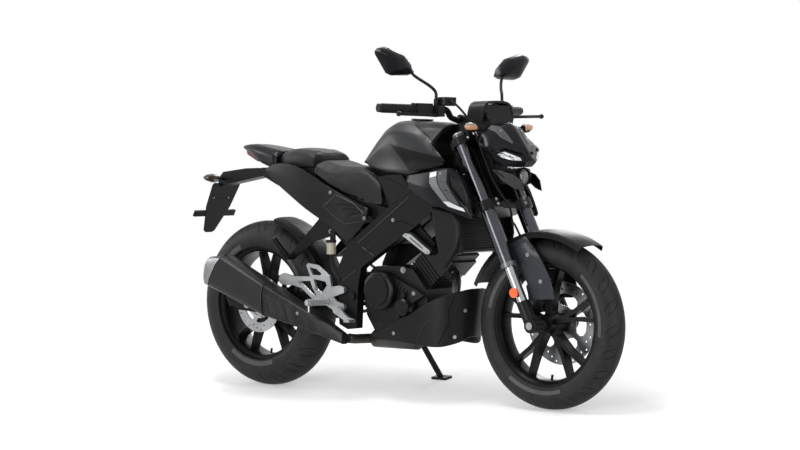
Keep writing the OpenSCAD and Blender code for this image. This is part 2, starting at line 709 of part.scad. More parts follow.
// A band along both sides of the engine and round its front; each row is [x, y, z] at the low edge, the high
// edge and the same two on the inside, from the nose to the right-hand rear
module belly_pan() color("#18181b") parked() {
    nose = front_z - front_r / stretch;
    half = [
        [[nose + 326, 0, 236], [nose + 350, 0, 402], [nose + 338, 0, 404], [nose + 314, 0, 240]],
        [[nose + 320, -30, 234], [nose + 342, -40, 401], [nose + 331, -36, 403], [nose + 309, -26, 238]],
        [[296, -74, 214], [312, -88, 390], [305, -80, 392], [289, -68, 218]],
        [[240, -112, 201], [240, -121, 366], [240, -114, 369], [240, -105, 205]],
        [[120, -123, 208], [110, -128, 300], [110, -122, 304], [120, -117, 212]],
        [[-44, -120, 222], [-44, -127, 234], [-44, -122, 237], [-44, -115, 225]]];
    line = rings([for (k = [0 : 3]) [for (h = half) h[k]]], 2);
    left = [for (i = [len(line) - 1 : -1 : 1]) [for (p = line[i]) [p[0], -p[1], p[2]]]];
    skin(concat(left, line));
}

module exhaust_pipe() color("#8c8a86") parked() {
    bent_tube([[249.5, -24, 464.6], [261, -25, 452.2], [278, -42, 430], [286, -58, 396], [276, -62, 330],
        [244, -60, 262], [180, -50, 222], [100, -45, 210]], 16, 3, 12, [0.1, 1, 0.1]);
    rod([104, -45, 210], [-96, -45, 209], 32);
    bent_tube([[-90, -46, 210], [-112, -56, 209], [-128, -84, 209], [-136, -118, 210], [-142, -142.6, 213]],
        18, 3, 12, [0.1, 0.05, 1]);
}

// A ring with round corners on the right-hand side, y0 to y1 from the middle plane, that leans in x
function soft_ring(x_low, x_top, y0, y1, z0, z1, b) =
    let (u = b / (y1 - y0), v = b / (z1 - z0))
    [for (p = [[1 - u, 0], [u, 0], [0.3 * u, 0.3 * v], [0, v], [0, 1 - v], [0.3 * u, 1 - 0.3 * v], [u, 1],
        [1 - u, 1], [1 - 0.3 * u, 1 - 0.3 * v], [1, 1 - v], [1, v], [1 - 0.3 * u, 0.3 * v]])
        [x_low + (x_top - x_low) * p[1], -y0 - (y1 - y0) * p[0], z0 + (z1 - z0) * p[1]]];

module muffler_shield() color("#1b1b1d") parked()
    skin([soft_ring(-484.4, -484.4, 138, 238, 280, 401, 28), soft_ring(-300, -300, 142, 224, 240, 318, 18),
        soft_ring(-145, -145, 144, 178, 192, 232, 8)]);

// The muffler rises to the rear; its cap joint is cut on the slant
module muffler() color("#1f1f21") parked()
    skin([soft_ring(-772, -699, 136, 244, 378, 500, 32), soft_ring(-485, -485, 136, 244, 277, 402, 32)]);

module muffler_cap() color("#77797c") parked() difference() {
    skin([soft_ring(-806, -796, 158, 222, 404, 474, 18), soft_ring(-790, -772, 140, 240, 384, 494, 28),
        soft_ring(-772.5, -699.5, 135, 245, 378, 500, 32)]);
    rod([-764, -190, 428], [-830, -190, 446], 22);
}

module swingarm() color("#17171a") parked() {
    plate_clear = 74;
    arm_x = min(beam_x + 68, pivot_x - plate_clear);
    arm_mid = rear_x + 262.5;
    both_sides() {
        slab([[-98, 352], [-104, 386], [-126, 394], [beam_x, 380], [beam_x, 318], [-126, 340]], 86, 104.8);
        difference() {
            slab([[arm_x, 386], [arm_mid, 372], [rear_x + 62.5, 350], [rear_x - 49.5, 344],
                [rear_x - 55.5, 290], [rear_x + 62.5, 284], [arm_mid, 300], [arm_x, 318]], 96, 122);
            cross_bar(rear_x, rear_z, axle_r + 0.1, 90, 130);
        }
    }
    translate([beam_x, -97, 345]) cube([60, 194, 30]);
    cross_bar(pivot_x, pivot_z, 17, -104.8, 104.8);
    cross_bar(pivot_x, pivot_z, 9, -146, 146);
    for (s = [-1, 1]) cross_bar(pivot_x, pivot_z, 15, s > 0 ? 140.2 : -148, s > 0 ? 148 : -140.2);
    for (s = [-1, 1]) translate([beam_x + 34, s > 0 ? 16.2 : -24.2, 370]) cube([26, 8, 30]);
}

module rear_axle() color("#a9abad") parked() {
    cross_bar(rear_x, rear_z, axle_r, -134, 134);
    for (s = [-1, 1]) cross_bar(rear_x, rear_z, 15, s > 0 ? 122.2 : -134, s > 0 ? 134 : -122.2);
    for (s = [-1, 1]) difference() {
        cross_bar(rear_x, rear_z, 16, s > 0 ? 84 : -95.8, s > 0 ? 95.8 : -84);
        cross_bar(rear_x, rear_z, axle_r + 0.1, -100, 100);
    }
}

module rear_shock() color("#3a3b3e") parked() {
    low = [beam_x + 47, 0, 388];
    high = [-156, 0, 574];
    up = unit(high - low);
    cross_bar(low[0], low[2], 13, -16, 16);
    rod(low + 6 * up, low + 40 * up, 14);
    rod(low + 30 * up, high, 13);
    rod(low + 150 * up, high, 27);
    rod(high - 4 * up, high + 18.2 * up, 12);
    steps = 14;
    turns = 7;
    c = [for (k = [0 : steps * turns]) low + (44 + 100 * k / (steps * turns)) * up
        + 26 * (cos(k * 360 / steps) * [0, 1, 0] + sin(k * 360 / steps) * cross(up, [0, 1, 0]))];
    rod(low + 36 * up, low + 40.2 * up, 31);
    skin([for (i = [0 : len(c) - 1])
        ring_at(c[i], unit(c[min(i + 1, len(c) - 1)] - c[max(i - 1, 0)]), 4.5, 6, up)]);
}

// Chain: two rows of waisted side plates on either side of the sprockets' teeth

// Lie of the pitch line around both sprockets: [slant, arm, run, front arc, rear arc]
function chain_lie() =
    let (d = norm([rear_x - drive_x, rear_z - drive_z]), q = asin((driven_r - drive_r) / d))
    [q, atan2(drive_z - rear_z, drive_x - rear_x), d * cos(q),
        drive_r * (180 - 2 * q) * PI / 180, driven_r * (180 + 2 * q) * PI / 180];

// Place and outward direction at a length s along the pitch line
function chain_at(s) =
    let (l = chain_lie(), a = [drive_x, drive_z], b = [rear_x, rear_z],
        low = l[1] - 90 + l[0], high = l[1] + 90 - l[0], s1 = s - l[3], s2 = s1 - l[2], s3 = s2 - l[4])
    s1 < 0 ? let (t = low + s / drive_r * 180 / PI) [a + drive_r * heading(t), heading(t)]
    : s2 < 0 ? [a + drive_r * heading(high) + s1 * heading(high + 90), heading(high)]
    : s3 < 0 ? let (t = high + s2 / driven_r * 180 / PI) [b + driven_r * heading(t), heading(t)]
    : [b + driven_r * heading(low) + s3 * heading(low + 90), heading(low)];

// Edge of the side plates: full at the pins, narrow between them
function plate_edge(side) =
    let (l = chain_lie(), length = 2 * l[2] + l[3] + l[4], links = 2 * round(length / chain_pitch / 2))
    [for (i = [0 : 2 * links - 1]) let (c = chain_at(i * length / links / 2))
        c[0] + side * (i % 2 == 0 ? 6.6 : 4.6) * c[1]];

module chain_row(y) {
    translate([0, y + 2, 0]) rotate([90, 0, 0]) linear_extrude(2) difference() {
        polygon(plate_edge(1));
        polygon(plate_edge(-1));
    }
}

module chain() color("#6f6a5f") parked() {
    chain_row(chain_y - plate_gap / 2 - 2);
    chain_row(chain_y + plate_gap / 2);
    cross_bar(drive_x, drive_z, drive_r + 3, chain_y - 3.5, chain_y + 3.5);
    cross_bar(drive_x, drive_z, drive_r + 1, chain_y - 4, chain_y + 4);
    cross_bar(drive_x, drive_z, 14, 66 + fit, chain_y - 3);
}

module rear_hugger() color("#161618") parked() {
    r = rear_r;
    at_rear_axle() rotate(8) rotate_extrude(angle = 68, $fn = 96) polygon([
        [r + 4, -68], [r + 18, -65], [r + 24, -36], [r + 25, 0], [r + 24, 36], [r + 18, 65], [r + 4, 68],
        [r + 4, 64], [r + 15, 61], [r + 20, 36], [r + 21, 0], [r + 20, -36], [r + 15, -61], [r + 4, -64]]);
    both_sides() slab([round_rear(r - 2.4, 8.1), round_rear(r + 2.2, 12.8), round_rear(r + 23.8, 12),
        round_rear(r + 19.4, 7.6)], 62, 95.8);
}

// Body

// Rails of the left half, from the bottom middle round the side to the top middle
module fuel_tank() color("#26272b") parked() {
    f = [for (x = [200, 215, 230, 243, 252, 258, 300, 312]) at_head(x)];
    rails = [
        [[-88, 0, 832], [0, 0, 790], [80, 0, 762], [150, 0, 762],
            [f[0], 0, 780], [f[3], 0, 800]],
        [[-88, 60, 834], [0, 80, 800], [80, 100, 792], [150, 112, 796],
            [f[0], 110, 815], [f[2], 92, 838]],
        [[-90, 84, 836], [-5, 108, 822], [80, 134, 818], [150, 146, 818],
            [f[2], 150, 828], [f[6], 147, 843]],
        [[-102, 84, 846], [-14, 104, 862], [70, 124, 864], [150, 134, 860],
            [f[2], 142, 856], [f[6], 146, 852]],
        [[-118, 80, 852], [-25, 103, 908], [50, 122, 915], [145, 141, 898],
            [f[2], 149, 880], [f[7], 150, 858]],
        [[-130, 70, 852], [-45, 88, 930], [30, 104, 960], [130, 118, 952],
            [f[0], 124, 930], [f[2], 126, 915]],
        [[-140, 52, 850], [-56, 62, 944], [22, 76, 988], [125, 84, 984],
            [f[0], 90, 974], [f[3], 72, 972]],
        [[-146, 26, 849], [-60, 34, 950], [20, 44, 999], [125, 46, 997.4],
            [f[0], 48, 992], [f[4], 40, 984]],
        [[-150, 0, 848], [-62, 0, 952], [20, 0, 1000], [125, 0, 998],
            [f[0], 0, 994], [f[5], 0, 988]]];
    body_skin(rails, 2);
}

module filler_cap() color("#1d1d20") parked()
    translate([86, 0, 1001.8]) rotate([0, 2.5, 0]) cylinder(r = 40, h = 6);

scoop_inlet = [[354, 816], [384, 794], [424, 752], [440, 704], [414, 720], [362, 772]];

module tank_scoops() color("#16181e") parked() both_sides() {
    f = [for (x = [345, 352, 357, 405, 416, 424, 454, 461, 463]) at_head(x)];
    difference() {
        skin(rings([
            [[136, 147, 770], [240, 140.2, 719], [f[0], 160, 692], [f[3], 172, 676], [f[6], 184, 661]],
            [[138, 151, 766], [249, 178, 717], [f[0], 190, 690], [f[3], 196, 674], [f[6], 193, 659]],
            [[138, 155, 786], [252, 190, 766], [f[1], 198, 758], [f[4], 199, 716], [f[7], 194, 667]],
            [[140, 151, 804], [254, 172, 819], [f[2], 178, 833], [f[5], 184, 768], [f[8], 190, 676]],
            [[140, 148, 803], [254, 157, 816], [f[2], 160, 829], [f[5], 166, 766], [f[7], 185, 675]]], 2));
        slab([for (p = scoop_inlet) [at_head(p[0]), p[1]]], 181, 230);
    }
}

module knee_panels() color("#1a1a1c") parked() both_sides()
    slab([[-8, 800], [62, 808], [104, 808], [140, 760], [150, 748.8], [53, 699.4], [46, 696]], 131, 139);

module tray() color("#18181a") parked() {
    slab([[-98, 690], [-92, 772.3], [-254, 772.3], [-300, 780], [-341, 794], [-342, 829.8], [-430, 829.8],
        [-430, 728], [-350, 706], [-200, 690]], -95.8, 95.8);
    slab([[-425, 829.8], [-640, 829.8], [-640, 800], [-560, 764], [-425, 727]], -70, 70);
}

module seat() color("#1d1d1f") parked() {
    rails = [
        [[-340, 0, 811.5], [-250, 0, 775], [-150, 0, 775], [-92, 0, 775], [-20, 0, 759.5]],
        [[-340, 96, 812], [-250, 97, 775.5], [-150, 97, 775.5], [-90, 97, 775.5], [-16, 100, 760]],
        [[-340, 113, 810], [-250, 114, 772], [-140, 114, 745], [-66, 114, 735], [4, 114, 735]],
        [[-340, 118, 814], [-250, 130, 766], [-140, 131, 724], [-60, 131, 694], [10, 130, 694]],
        [[-340, 122, 832], [-250, 136, 795], [-148, 133, 780], [-68, 127, 758], [8, 129, 732]],
        [[-340, 114, 850], [-250, 128, 820], [-150, 118, 824], [-78, 106, 818], [-14, 112, 776]],
        [[-340, 70, 862], [-250, 85, 834], [-155, 82, 831], [-92, 72, 822], [-18, 76, 778]],
        [[-340, 0, 864], [-250, 0, 834], [-160, 0, 832], [-95, 0, 822], [-20, 0, 778]]];
    body_skin(rails, 2);
}

module pillion_seat() color("#2c2c2f") parked() {
    rails = [
        [[-548, 0, 830], [-480, 0, 830], [-400, 0, 830], [-345, 0, 830]],
        [[-548, 70, 830.5], [-480, 92, 830.5], [-400, 104, 830.5], [-345, 106, 830.5]],
        [[-548, 74, 852], [-480, 97, 852], [-400, 111, 851], [-345, 112, 852]],
        [[-548, 72, 874], [-480, 94, 877], [-400, 107, 875], [-344, 104, 870]],
        [[-548, 56, 890], [-480, 76, 900], [-400, 88, 898], [-342, 82, 884]],
        [[-548, 0, 893], [-480, 0, 903], [-400, 0, 901], [-341, 0, 886]]];
    body_skin(rails, 2);
}

module tail_cowl() color("#17191f") parked() {
    rails = [
        [[-775, 0, 897], [-705, 0, 868], [-635, 0, 838], [-549, 0, 830.2]],
        [[-777, 14, 898], [-710, 36, 872], [-638, 60, 842], [-549, 82, 831]],
        [[-778, 20, 900], [-715, 46, 882], [-640, 72, 852], [-549, 93, 842]],
        [[-780, 24, 906], [-725, 50, 903], [-650, 74, 889], [-549, 91, 872]],
        [[-783, 18, 912], [-728, 38, 917], [-650, 55, 909], [-549, 62, 890]],
        [[-785, 0, 914], [-730, 0, 920], [-650, 0, 913], [-549, 0, 893]]];
    body_skin(rails, 1);
}

module tail_covers() color("#18181a") parked() both_sides() {
    rod([-205, 137, 703], [-130, 138.6, 700], 3);
    rod([-180, 140, 686], [-112, 139.8, 686], 3);
    rod([-150, 143, 668], [-92, 142, 672], 3);
    skin(rings([
    [[-612, 74, 816], [-534, 96, 774], [-430, 113, 718], [-345, 118.5, 672], [-250, 118.5, 626],
        [-150, 141, 572], [-66, 141, 640]],
    [[-612, 80, 814], [-534, 102, 770], [-430, 120, 714], [-345, 127, 668], [-250, 130, 622],
        [-150, 146, 566], [-60, 146, 636]],
    [[-612, 82, 820], [-534, 106, 810], [-430, 124, 776], [-345, 132, 742], [-250, 135, 694],
        [-150, 146, 644], [-56, 144, 668]],
    [[-612, 80, 826], [-534, 100, 846], [-430, 118, 838], [-345, 124, 806], [-250, 130, 760],
        [-150, 138, 716], [-60, 136, 688]],
    [[-612, 76, 824], [-534, 96, 842], [-430, 113, 834], [-345, 112.4, 801], [-250, 112.4, 756],
        [-150, 112.4, 722], [-66, 114, 684]]], 1));
}

module tail_light() color("#5c1014") parked()
    slab([[-772, 895.4], [-707, 868.4], [-712, 852], [-768, 880]], -17, 17);

module plate_holder() color("#1a1a1c") parked() {
    slab([[-640.3, 826], [-640.3, 800], [-700, 792], [-860, 764], [-902, 752], [-906, 786], [-878, 812],
        [-760, 826], [-700, 828]], -36, 36);
    translate(plate_top) rotate([0, plate_tilt, 0]) {
        difference() {
            rotate([90, 0, 90]) linear_extrude(4) polygon([
                [-75, -4], [-70, 6], [70, 6], [75, -4], [66, -96], [30, -204], [18, -212], [-18, -212],
                [-30, -204], [-66, -96]]);
            for (s = [-1, 1]) translate([-10, s * plate_hole_y, -60]) rotate([0, 90, 0])
                cylinder(r = 3.2, h = 30);
        }
        translate([-8, -111, -142]) cube([9, 222, 24]);
    }
}

module rear_flashers() color("#33312e") parked() both_sides() {
    translate([-876, 36.2, 786]) rotate([-90, 0, 0]) cylinder(r = 7, h = 32);
    translate([-876, 66, 786]) rotate([-86, 0, 0])
        rotate_extrude() polygon([[0, 0], [11, 0], [16, 14], [17, 36], [12, 62], [5, 76], [0, 78]]);
}

// Footrests and pedals

module footrests() color("#a5a7a9") parked() both_sides() {
    difference() {
        slab([[-152, 320], [-156, 338], [-190, 346], [-206, 362], [-180, 370], [-154, 378], [-154, 398],
            [-176, 404], [-214, 398], [-224, 436], [-284, 474], [-330, 480], [-338, 472], [-318, 432],
            [-400, 430], [-452, 440], [-468, 434], [-476, 418], [-472, 404], [-460, 398], [-400, 396],
            [-362, 388], [-308, 350], [-262, 340], [-196, 308], [-164, 308]], 146, 156);
        // Windows of the heel plate and between the arms
        slab([[-322, 466], [-286, 460], [-262, 444], [-268, 438], [-306, 438]], 140, 160);
        slab([[-302, 424], [-244, 416], [-236, 402], [-262, 372], [-290, 390]], 140, 160);
        slab([[-372, 414], [-318, 416], [-306, 388], [-288, 364], [-304, 364], [-350, 398]], 140, 160);
    }
    for (z = [388, 326]) cross_bar(-166, z, 12, 140.2, 147);
    rod([-232, 155, 343], [-250, 252, 343], 11);
    for (k = [0 : 5]) let (c = [-235 - 2.4 * k, 172 + 13 * k, 343])
        rod(c, c + [-1.1, 5.9, 0], 13);
    translate([-248, 242, 308]) cylinder(r = 3.5, h = 30);
}

module pillion_footrests() color("#202022") parked() both_sides() {
    slab([[-312, 640], [-296, 660], [-224, 612], [-222, 588], [-244, 582], [-330, 560], [-440, 488],
        [-456, 506], [-420, 540]], 112.2, 117.8);
    cross_bar(-436, 502, 12, 116, 160);
    rod([-436, 152, 502], [-446, 214, 574], 11);
}

module pedals() color("#9b9da0") parked() {
    slab([[-190, 306], [-186, 326], [-170, 328], [-120, 292], [-92, 286], [-92, 274], [-130, 276]],
        -174, -164);
    cross_bar(-178, 316, 14, -175, -156.2);
    translate([-114, -204, 276]) cube([26, 38, 9]);
    slab([[-190, 306], [-186, 326], [-170, 328], [-120, 306], [-88, 300], [-88, 288], [-130, 288]],
        164, 174);
    cross_bar(-178, 316, 14, 156.2, 175);
    cross_bar(-96, 294, 9, 172, 212);
}

module brake_reservoir() color("#d8d6cf") parked() {
    translate([-236, -132, 516]) cylinder(r = 17, h = 44);
    translate([-236, -132, 558]) cylinder(r = 19, h = 10);
    slab([[-250, 556], [-250, 602], [-226, 602], [-226, 556]], -123, -118);
}

// Points whose first number is counted from the rear axle
function from_rear(points) = [for (p = points) [rear_x + p[0], p[1]]];

module rear_caliper() color("#2c2d30") parked() {
    difference() {
        union() {
            slab(from_rear([[22.5, 290], [22.5, 340], [-17.5, 344], [-107.5, 390], [-137.5, 380],
                [-153.5, 330], [-133.5, 300], [-27.5, 286]]), -84, -77.5);
            slab(from_rear([[-89.5, 400], [-143.5, 386], [-157.5, 330], [-137.5, 296], [-97.5, 310]]),
                -84, -42);
            cross_bar(rear_x, rear_z, 24, -84, -77.5);
        }
        cross_bar(rear_x, rear_z, axle_r + 0.1, -100, -30);
        at_rear_axle() translate([0, 0, 57]) cylinder(r = rear_disc_r + 6, h = 15, $fn = 96);
    }
}

frame();
tray();
airbox();
engine();
clutch_cover();
generator_cover();
radiator();
radiator_shrouds();
belly_pan();
exhaust_pipe();
muffler();
muffler_cap();
muffler_shield();
swingarm();
rear_shock();
rear_axle();
chain();
rear_hugger();
fuel_tank();
filler_cap();
tank_scoops();
knee_panels();
seat();
pillion_seat();
tail_cowl();
tail_covers();
tail_light();
plate_holder();
rear_flashers();
footrests();
pillion_footrests();
pedals();
brake_reservoir();
rear_caliper();
fork_clamps();
fork_tubes();
fork_sliders();
front_axle();
handlebar();
grips();
switchgear();
levers();
mirrors();
mirror_glass();
nose_cowl();
headlamp();
meter();
front_flashers();
front_fender();
front_caliper();
fork_reflectors();
brake_hose();
front_tyre();
front_wheel();
front_disc();
rear_tyre();
rear_wheel();
rear_disc();
sprocket();
side_stand();
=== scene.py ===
"""Looks of a small naked motorcycle that leans on its side stand.

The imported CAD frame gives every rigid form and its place. This script gives those forms their finishes,
lays smooth panels over the lofted ones, and adds tread, padding, seams, fasteners and trim. New pieces are
drawn upright, in millimetres, and PARKED leans them into the row frame.
"""

import json
import logging
import math
from dataclasses import dataclass, field
from enum import Enum

import bmesh
import bpy
from mathutils import Matrix, Vector
from mathutils.bvhtree import BVHTree

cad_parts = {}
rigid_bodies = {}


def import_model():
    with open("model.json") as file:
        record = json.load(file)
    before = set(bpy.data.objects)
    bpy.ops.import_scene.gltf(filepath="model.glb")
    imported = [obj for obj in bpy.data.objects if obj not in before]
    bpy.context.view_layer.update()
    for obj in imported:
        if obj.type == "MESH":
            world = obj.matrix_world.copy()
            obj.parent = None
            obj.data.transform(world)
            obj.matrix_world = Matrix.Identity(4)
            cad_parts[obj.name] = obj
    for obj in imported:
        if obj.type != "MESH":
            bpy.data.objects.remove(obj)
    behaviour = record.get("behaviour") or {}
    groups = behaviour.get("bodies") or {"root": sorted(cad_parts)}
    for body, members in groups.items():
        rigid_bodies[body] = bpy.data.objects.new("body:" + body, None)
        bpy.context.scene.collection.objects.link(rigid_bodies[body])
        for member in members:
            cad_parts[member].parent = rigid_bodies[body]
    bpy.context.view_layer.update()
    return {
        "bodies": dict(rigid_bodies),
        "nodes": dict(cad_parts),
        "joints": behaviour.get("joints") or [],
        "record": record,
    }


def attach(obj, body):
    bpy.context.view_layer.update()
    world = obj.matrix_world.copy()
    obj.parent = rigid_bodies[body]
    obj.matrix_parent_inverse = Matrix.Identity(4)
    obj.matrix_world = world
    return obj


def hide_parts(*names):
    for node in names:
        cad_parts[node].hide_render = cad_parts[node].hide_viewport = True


LOG = logging.getLogger("roadster")
MM = 0.001

LEAN = math.radians(9.0)
LEAN_HEIGHT = 61.5
MIDDLE_X = -20.75
MIDDLE_HEIGHT = 1164.0
ORIGIN = Vector((MIDDLE_X, (MIDDLE_HEIGHT - LEAN_HEIGHT) * math.sin(LEAN), 0.0))
PARKED = (
    Matrix.Scale(MM, 4)
    @ Matrix.Translation(Vector((0, 0, LEAN_HEIGHT)) - ORIGIN)
    @ Matrix.Rotation(-LEAN, 4, "X")
    @ Matrix.Translation((0, 0, -LEAN_HEIGHT))
)
FRONT_AXLE = Vector((662.5, 0.0, 296.0))
REAR_AXLE = Vector((-662.5, 0.0, 314.0))
RAKE = math.radians(26.0)

Point = tuple[float, float, float]
Spot = tuple[float, float]
Plane = tuple[Point, Point]

WELD_M = 0.00002
TUBE_WELD_MM = 0.01
CLOUD_EDGES = (0.36, 0.64)
BUMP_STRENGTH = 0.6
COAT_ROUGHNESS = 0.08
LEAST_ROUGHNESS = 0.02
SHADE_AND_COVER_EDGES_M = (-0.0015, 0.0025)


class Body(str, Enum):
    """The bodies that pieces ride on."""

    CHASSIS = "chassis"
    STEERING = "steering"
    FRONT_WHEEL = "front_wheel"
    REAR_WHEEL = "rear_wheel"


class Grain(Enum):
    """How a surface was made, which sets the pattern of its bump."""

    FINE = "fine"
    CELLS = "cells"
    WEAVE = "weave"


def linear(code: str) -> tuple[float, float, float, float]:
    """Turn an sRGB hex value into linear colour.

    Args:
        code: Six hex digits after a hash sign.

    Returns:
        Linear red, green, blue and an alpha of one.
    """
    parts = [int(code[i : i + 2], 16) / 255 for i in (1, 3, 5)]
    red, green, blue = [c / 12.92 if c <= 0.04045 else ((c + 0.055) / 1.055) ** 2.4 for c in parts]
    return red, green, blue, 1.0


def add_node(
    tree: bpy.types.NodeTree, kind: str, settings: dict | None = None, inputs: dict | None = None
) -> bpy.types.Node:
    """Add a shader node with its settings and links.

    Args:
        tree: The node tree.
        kind: The node's type.
        settings: Attributes to set on the node.
        inputs: Values or output sockets for its inputs, by name or number.

    Returns:
        The new node.
    """
    node = tree.nodes.new(kind)
    for key, value in (settings or {}).items():
        setattr(node, key, value)
    for key, value in (inputs or {}).items():
        if isinstance(value, bpy.types.NodeSocket):
            tree.links.new(value, node.inputs[key])
        else:
            node.inputs[key].default_value = value
    return node


def empty_tree(owner: bpy.types.Material | bpy.types.World) -> bpy.types.NodeTree:
    """Turn an owner's nodes on and clear them.

    Args:
        owner: A material or a world.

    Returns:
        The empty node tree.
    """
    owner.use_nodes = True
    owner.node_tree.nodes.clear()
    return owner.node_tree


def remap(
    tree: bpy.types.NodeTree,
    value: bpy.types.NodeSocket,
    source: Spot = (0.0, 1.0),
    goal: Spot = (0.0, 1.0),
    curve: str = "LINEAR",
) -> bpy.types.NodeSocket:
    """Map a value from one range to another, held at both ends.

    Args:
        tree: The node tree.
        value: The value.
        source: The range it comes from.
        goal: The range it goes to.
        curve: The kind of interpolation.

    Returns:
        The mapped value.
    """
    node = add_node(
        tree,
        "ShaderNodeMapRange",
        {"interpolation_type": curve},
        {"Value": value, "From Min": source[0], "From Max": source[1], "To Min": goal[0], "To Max": goal[1]},
    )
    return node.outputs[0]


def blend(tree: bpy.types.NodeTree, share: object, first: object, second: object) -> bpy.types.NodeSocket:
    """Mix two colours, given as values or sockets, by a share from 0 to 1."""
    node = add_node(tree, "ShaderNodeMix", {"data_type": "RGBA"}, {0: share, 6: first, 7: second})
    return node.outputs[2]


def combine(
    tree: bpy.types.NodeTree, operation: str, first: bpy.types.NodeSocket, second: bpy.types.NodeSocket
) -> bpy.types.NodeSocket:
    """Join two values by a math node's operation."""
    return add_node(tree, "ShaderNodeMath", {"operation": operation}, {0: first, 1: second}).outputs[0]


def per_metre(size_mm: float) -> float:
    """Texture scale at which one cell is size_mm wide."""
    return 1.0 / (size_mm * MM)


@dataclass(frozen=True)
class Finish:
    """A surface finish, named for its real material.

    The colour drifts between two tones in soft clouds, as on handled or weathered goods, and the grain sets
    the roughness and the bump. Each near-black field is bounded by planes, given upright as a point and a
    direction into the field. On the tank, one field is painted shade and the other is the darker front cover.
    """

    name: str
    colour: str
    tone: str
    roughness: float
    metallic: float = 0.0
    ior: float = 1.5
    specular: float = 0.5
    coat: float = 0.0
    sheen: float = 0.0
    clear: float = 0.0
    grain: Grain = Grain.FINE
    grain_mm: float = 1.5
    bump_mm: float = 0.05
    spread: float = 0.06
    cloud_mm: float = 60.0
    stretch: Point = (1.0, 1.0, 1.0)
    shade_and_cover_fields: tuple[tuple[Plane, ...], ...] = ()
    shade_and_cover_colour: str = "#000000"
    shade_and_cover_specular: float = 0.1

    def material(self) -> bpy.types.Material:
        """Return this finish's material, made on its first use."""
        return bpy.data.materials.get(self.name) or self._build()

    def _build(self) -> bpy.types.Material:
        """Make the material's nodes.

        Returns:
            The new material.
        """
        material = bpy.data.materials.new(self.name)
        tree = empty_tree(material)
        where = add_node(tree, "ShaderNodeTexCoord").outputs["Object"]
        cloud = add_node(
            tree,
            "ShaderNodeTexNoise",
            inputs={"Vector": where, "Scale": per_metre(self.cloud_mm), "Detail": 3.0},
        )
        drift = remap(tree, cloud.outputs["Fac"], CLOUD_EDGES)
        paint = blend(tree, drift, linear(self.colour), linear(self.tone))
        specular = self.specular
        # near-black fields with less specular: painted shade on the tank's side facet, and the darker front
        # cover
        if self.shade_and_cover_fields:
            shade_and_cover = self._shade_and_cover_mask(tree, where)
            paint = blend(tree, shade_and_cover, paint, linear(self.shade_and_cover_colour))
            specular = remap(tree, shade_and_cover, goal=(self.specular, self.shade_and_cover_specular))
        height = self._grain(tree, where)
        smoothest = max(self.roughness - self.spread, LEAST_ROUGHNESS)
        roughest = min(self.roughness + self.spread, 1.0)
        bump = add_node(
            tree,
            "ShaderNodeBump",
            inputs={"Strength": BUMP_STRENGTH, "Distance": self.bump_mm * MM, "Height": height},
        )
        shader = add_node(
            tree,
            "ShaderNodeBsdfPrincipled",
            inputs={
                "Base Color": paint,
                "Roughness": remap(tree, height, goal=(smoothest, roughest)),
                "Normal": bump.outputs[0],
                "Metallic": self.metallic,
                "IOR": self.ior,
                "Specular IOR Level": specular,
                "Coat Weight": self.coat,
                "Coat Roughness": COAT_ROUGHNESS,
                "Sheen Weight": self.sheen,
                "Transmission Weight": self.clear,
            },
        )
        add_node(tree, "ShaderNodeOutputMaterial", inputs={0: shader.outputs[0]})
        return material

    def _shade_and_cover_mask(self, tree: bpy.types.NodeTree, where: bpy.types.NodeSocket) -> bpy.types.NodeSocket:
        """Mask the near-black fields: painted shade, and the darker front cover on the tank.

        Args:
            tree: The node tree.
            where: Object coordinates.

        Returns:
            1 in the fields and 0 elsewhere, with an edge a few millimetres wide.
        """
        whole = None
        for planes in self.shade_and_cover_fields:
            inside_all = None
            for point, way in planes:
                away = add_node(
                    tree,
                    "ShaderNodeVectorMath",
                    {"operation": "SUBTRACT"},
                    {0: where, 1: PARKED @ Vector(point)},
                )
                turned = (PARKED.to_3x3() @ Vector(way)).normalized()
                deep = add_node(
                    tree,
                    "ShaderNodeVectorMath",
                    {"operation": "DOT_PRODUCT"},
                    {0: away.outputs[0], 1: turned},
                ).outputs["Value"]
                inside_all = deep if inside_all is None else combine(tree, "MINIMUM", inside_all, deep)
            whole = inside_all if whole is None else combine(tree, "MAXIMUM", whole, inside_all)
        return remap(tree, whole, SHADE_AND_COVER_EDGES_M, curve="SMOOTHSTEP")

    def _grain(self, tree: bpy.types.NodeTree, where: bpy.types.NodeSocket) -> bpy.types.NodeSocket:
        """Add the grain's texture.

        Args:
            tree: The node tree.
            where: Object coordinates.

        Returns:
            The grain's height from 0 to 1.
        """
        turned = add_node(tree, "ShaderNodeMapping", inputs={"Vector": where, "Scale": self.stretch})
        source = turned.outputs[0]
        scale = per_metre(self.grain_mm)
        if self.grain is Grain.CELLS:
            cells = add_node(tree, "ShaderNodeTexVoronoi", inputs={"Vector": source, "Scale": scale})
            return cells.outputs["Distance"]
        if self.grain is Grain.WEAVE:
            checks = add_node(tree, "ShaderNodeTexChecker", inputs={"Vector": source, "Scale": scale})
            return checks.outputs["Fac"]
        noise = add_node(
            tree, "ShaderNodeTexNoise", inputs={"Vector": source, "Scale": scale, "Detail": 4.0}
        )
        return noise.outputs["Fac"]


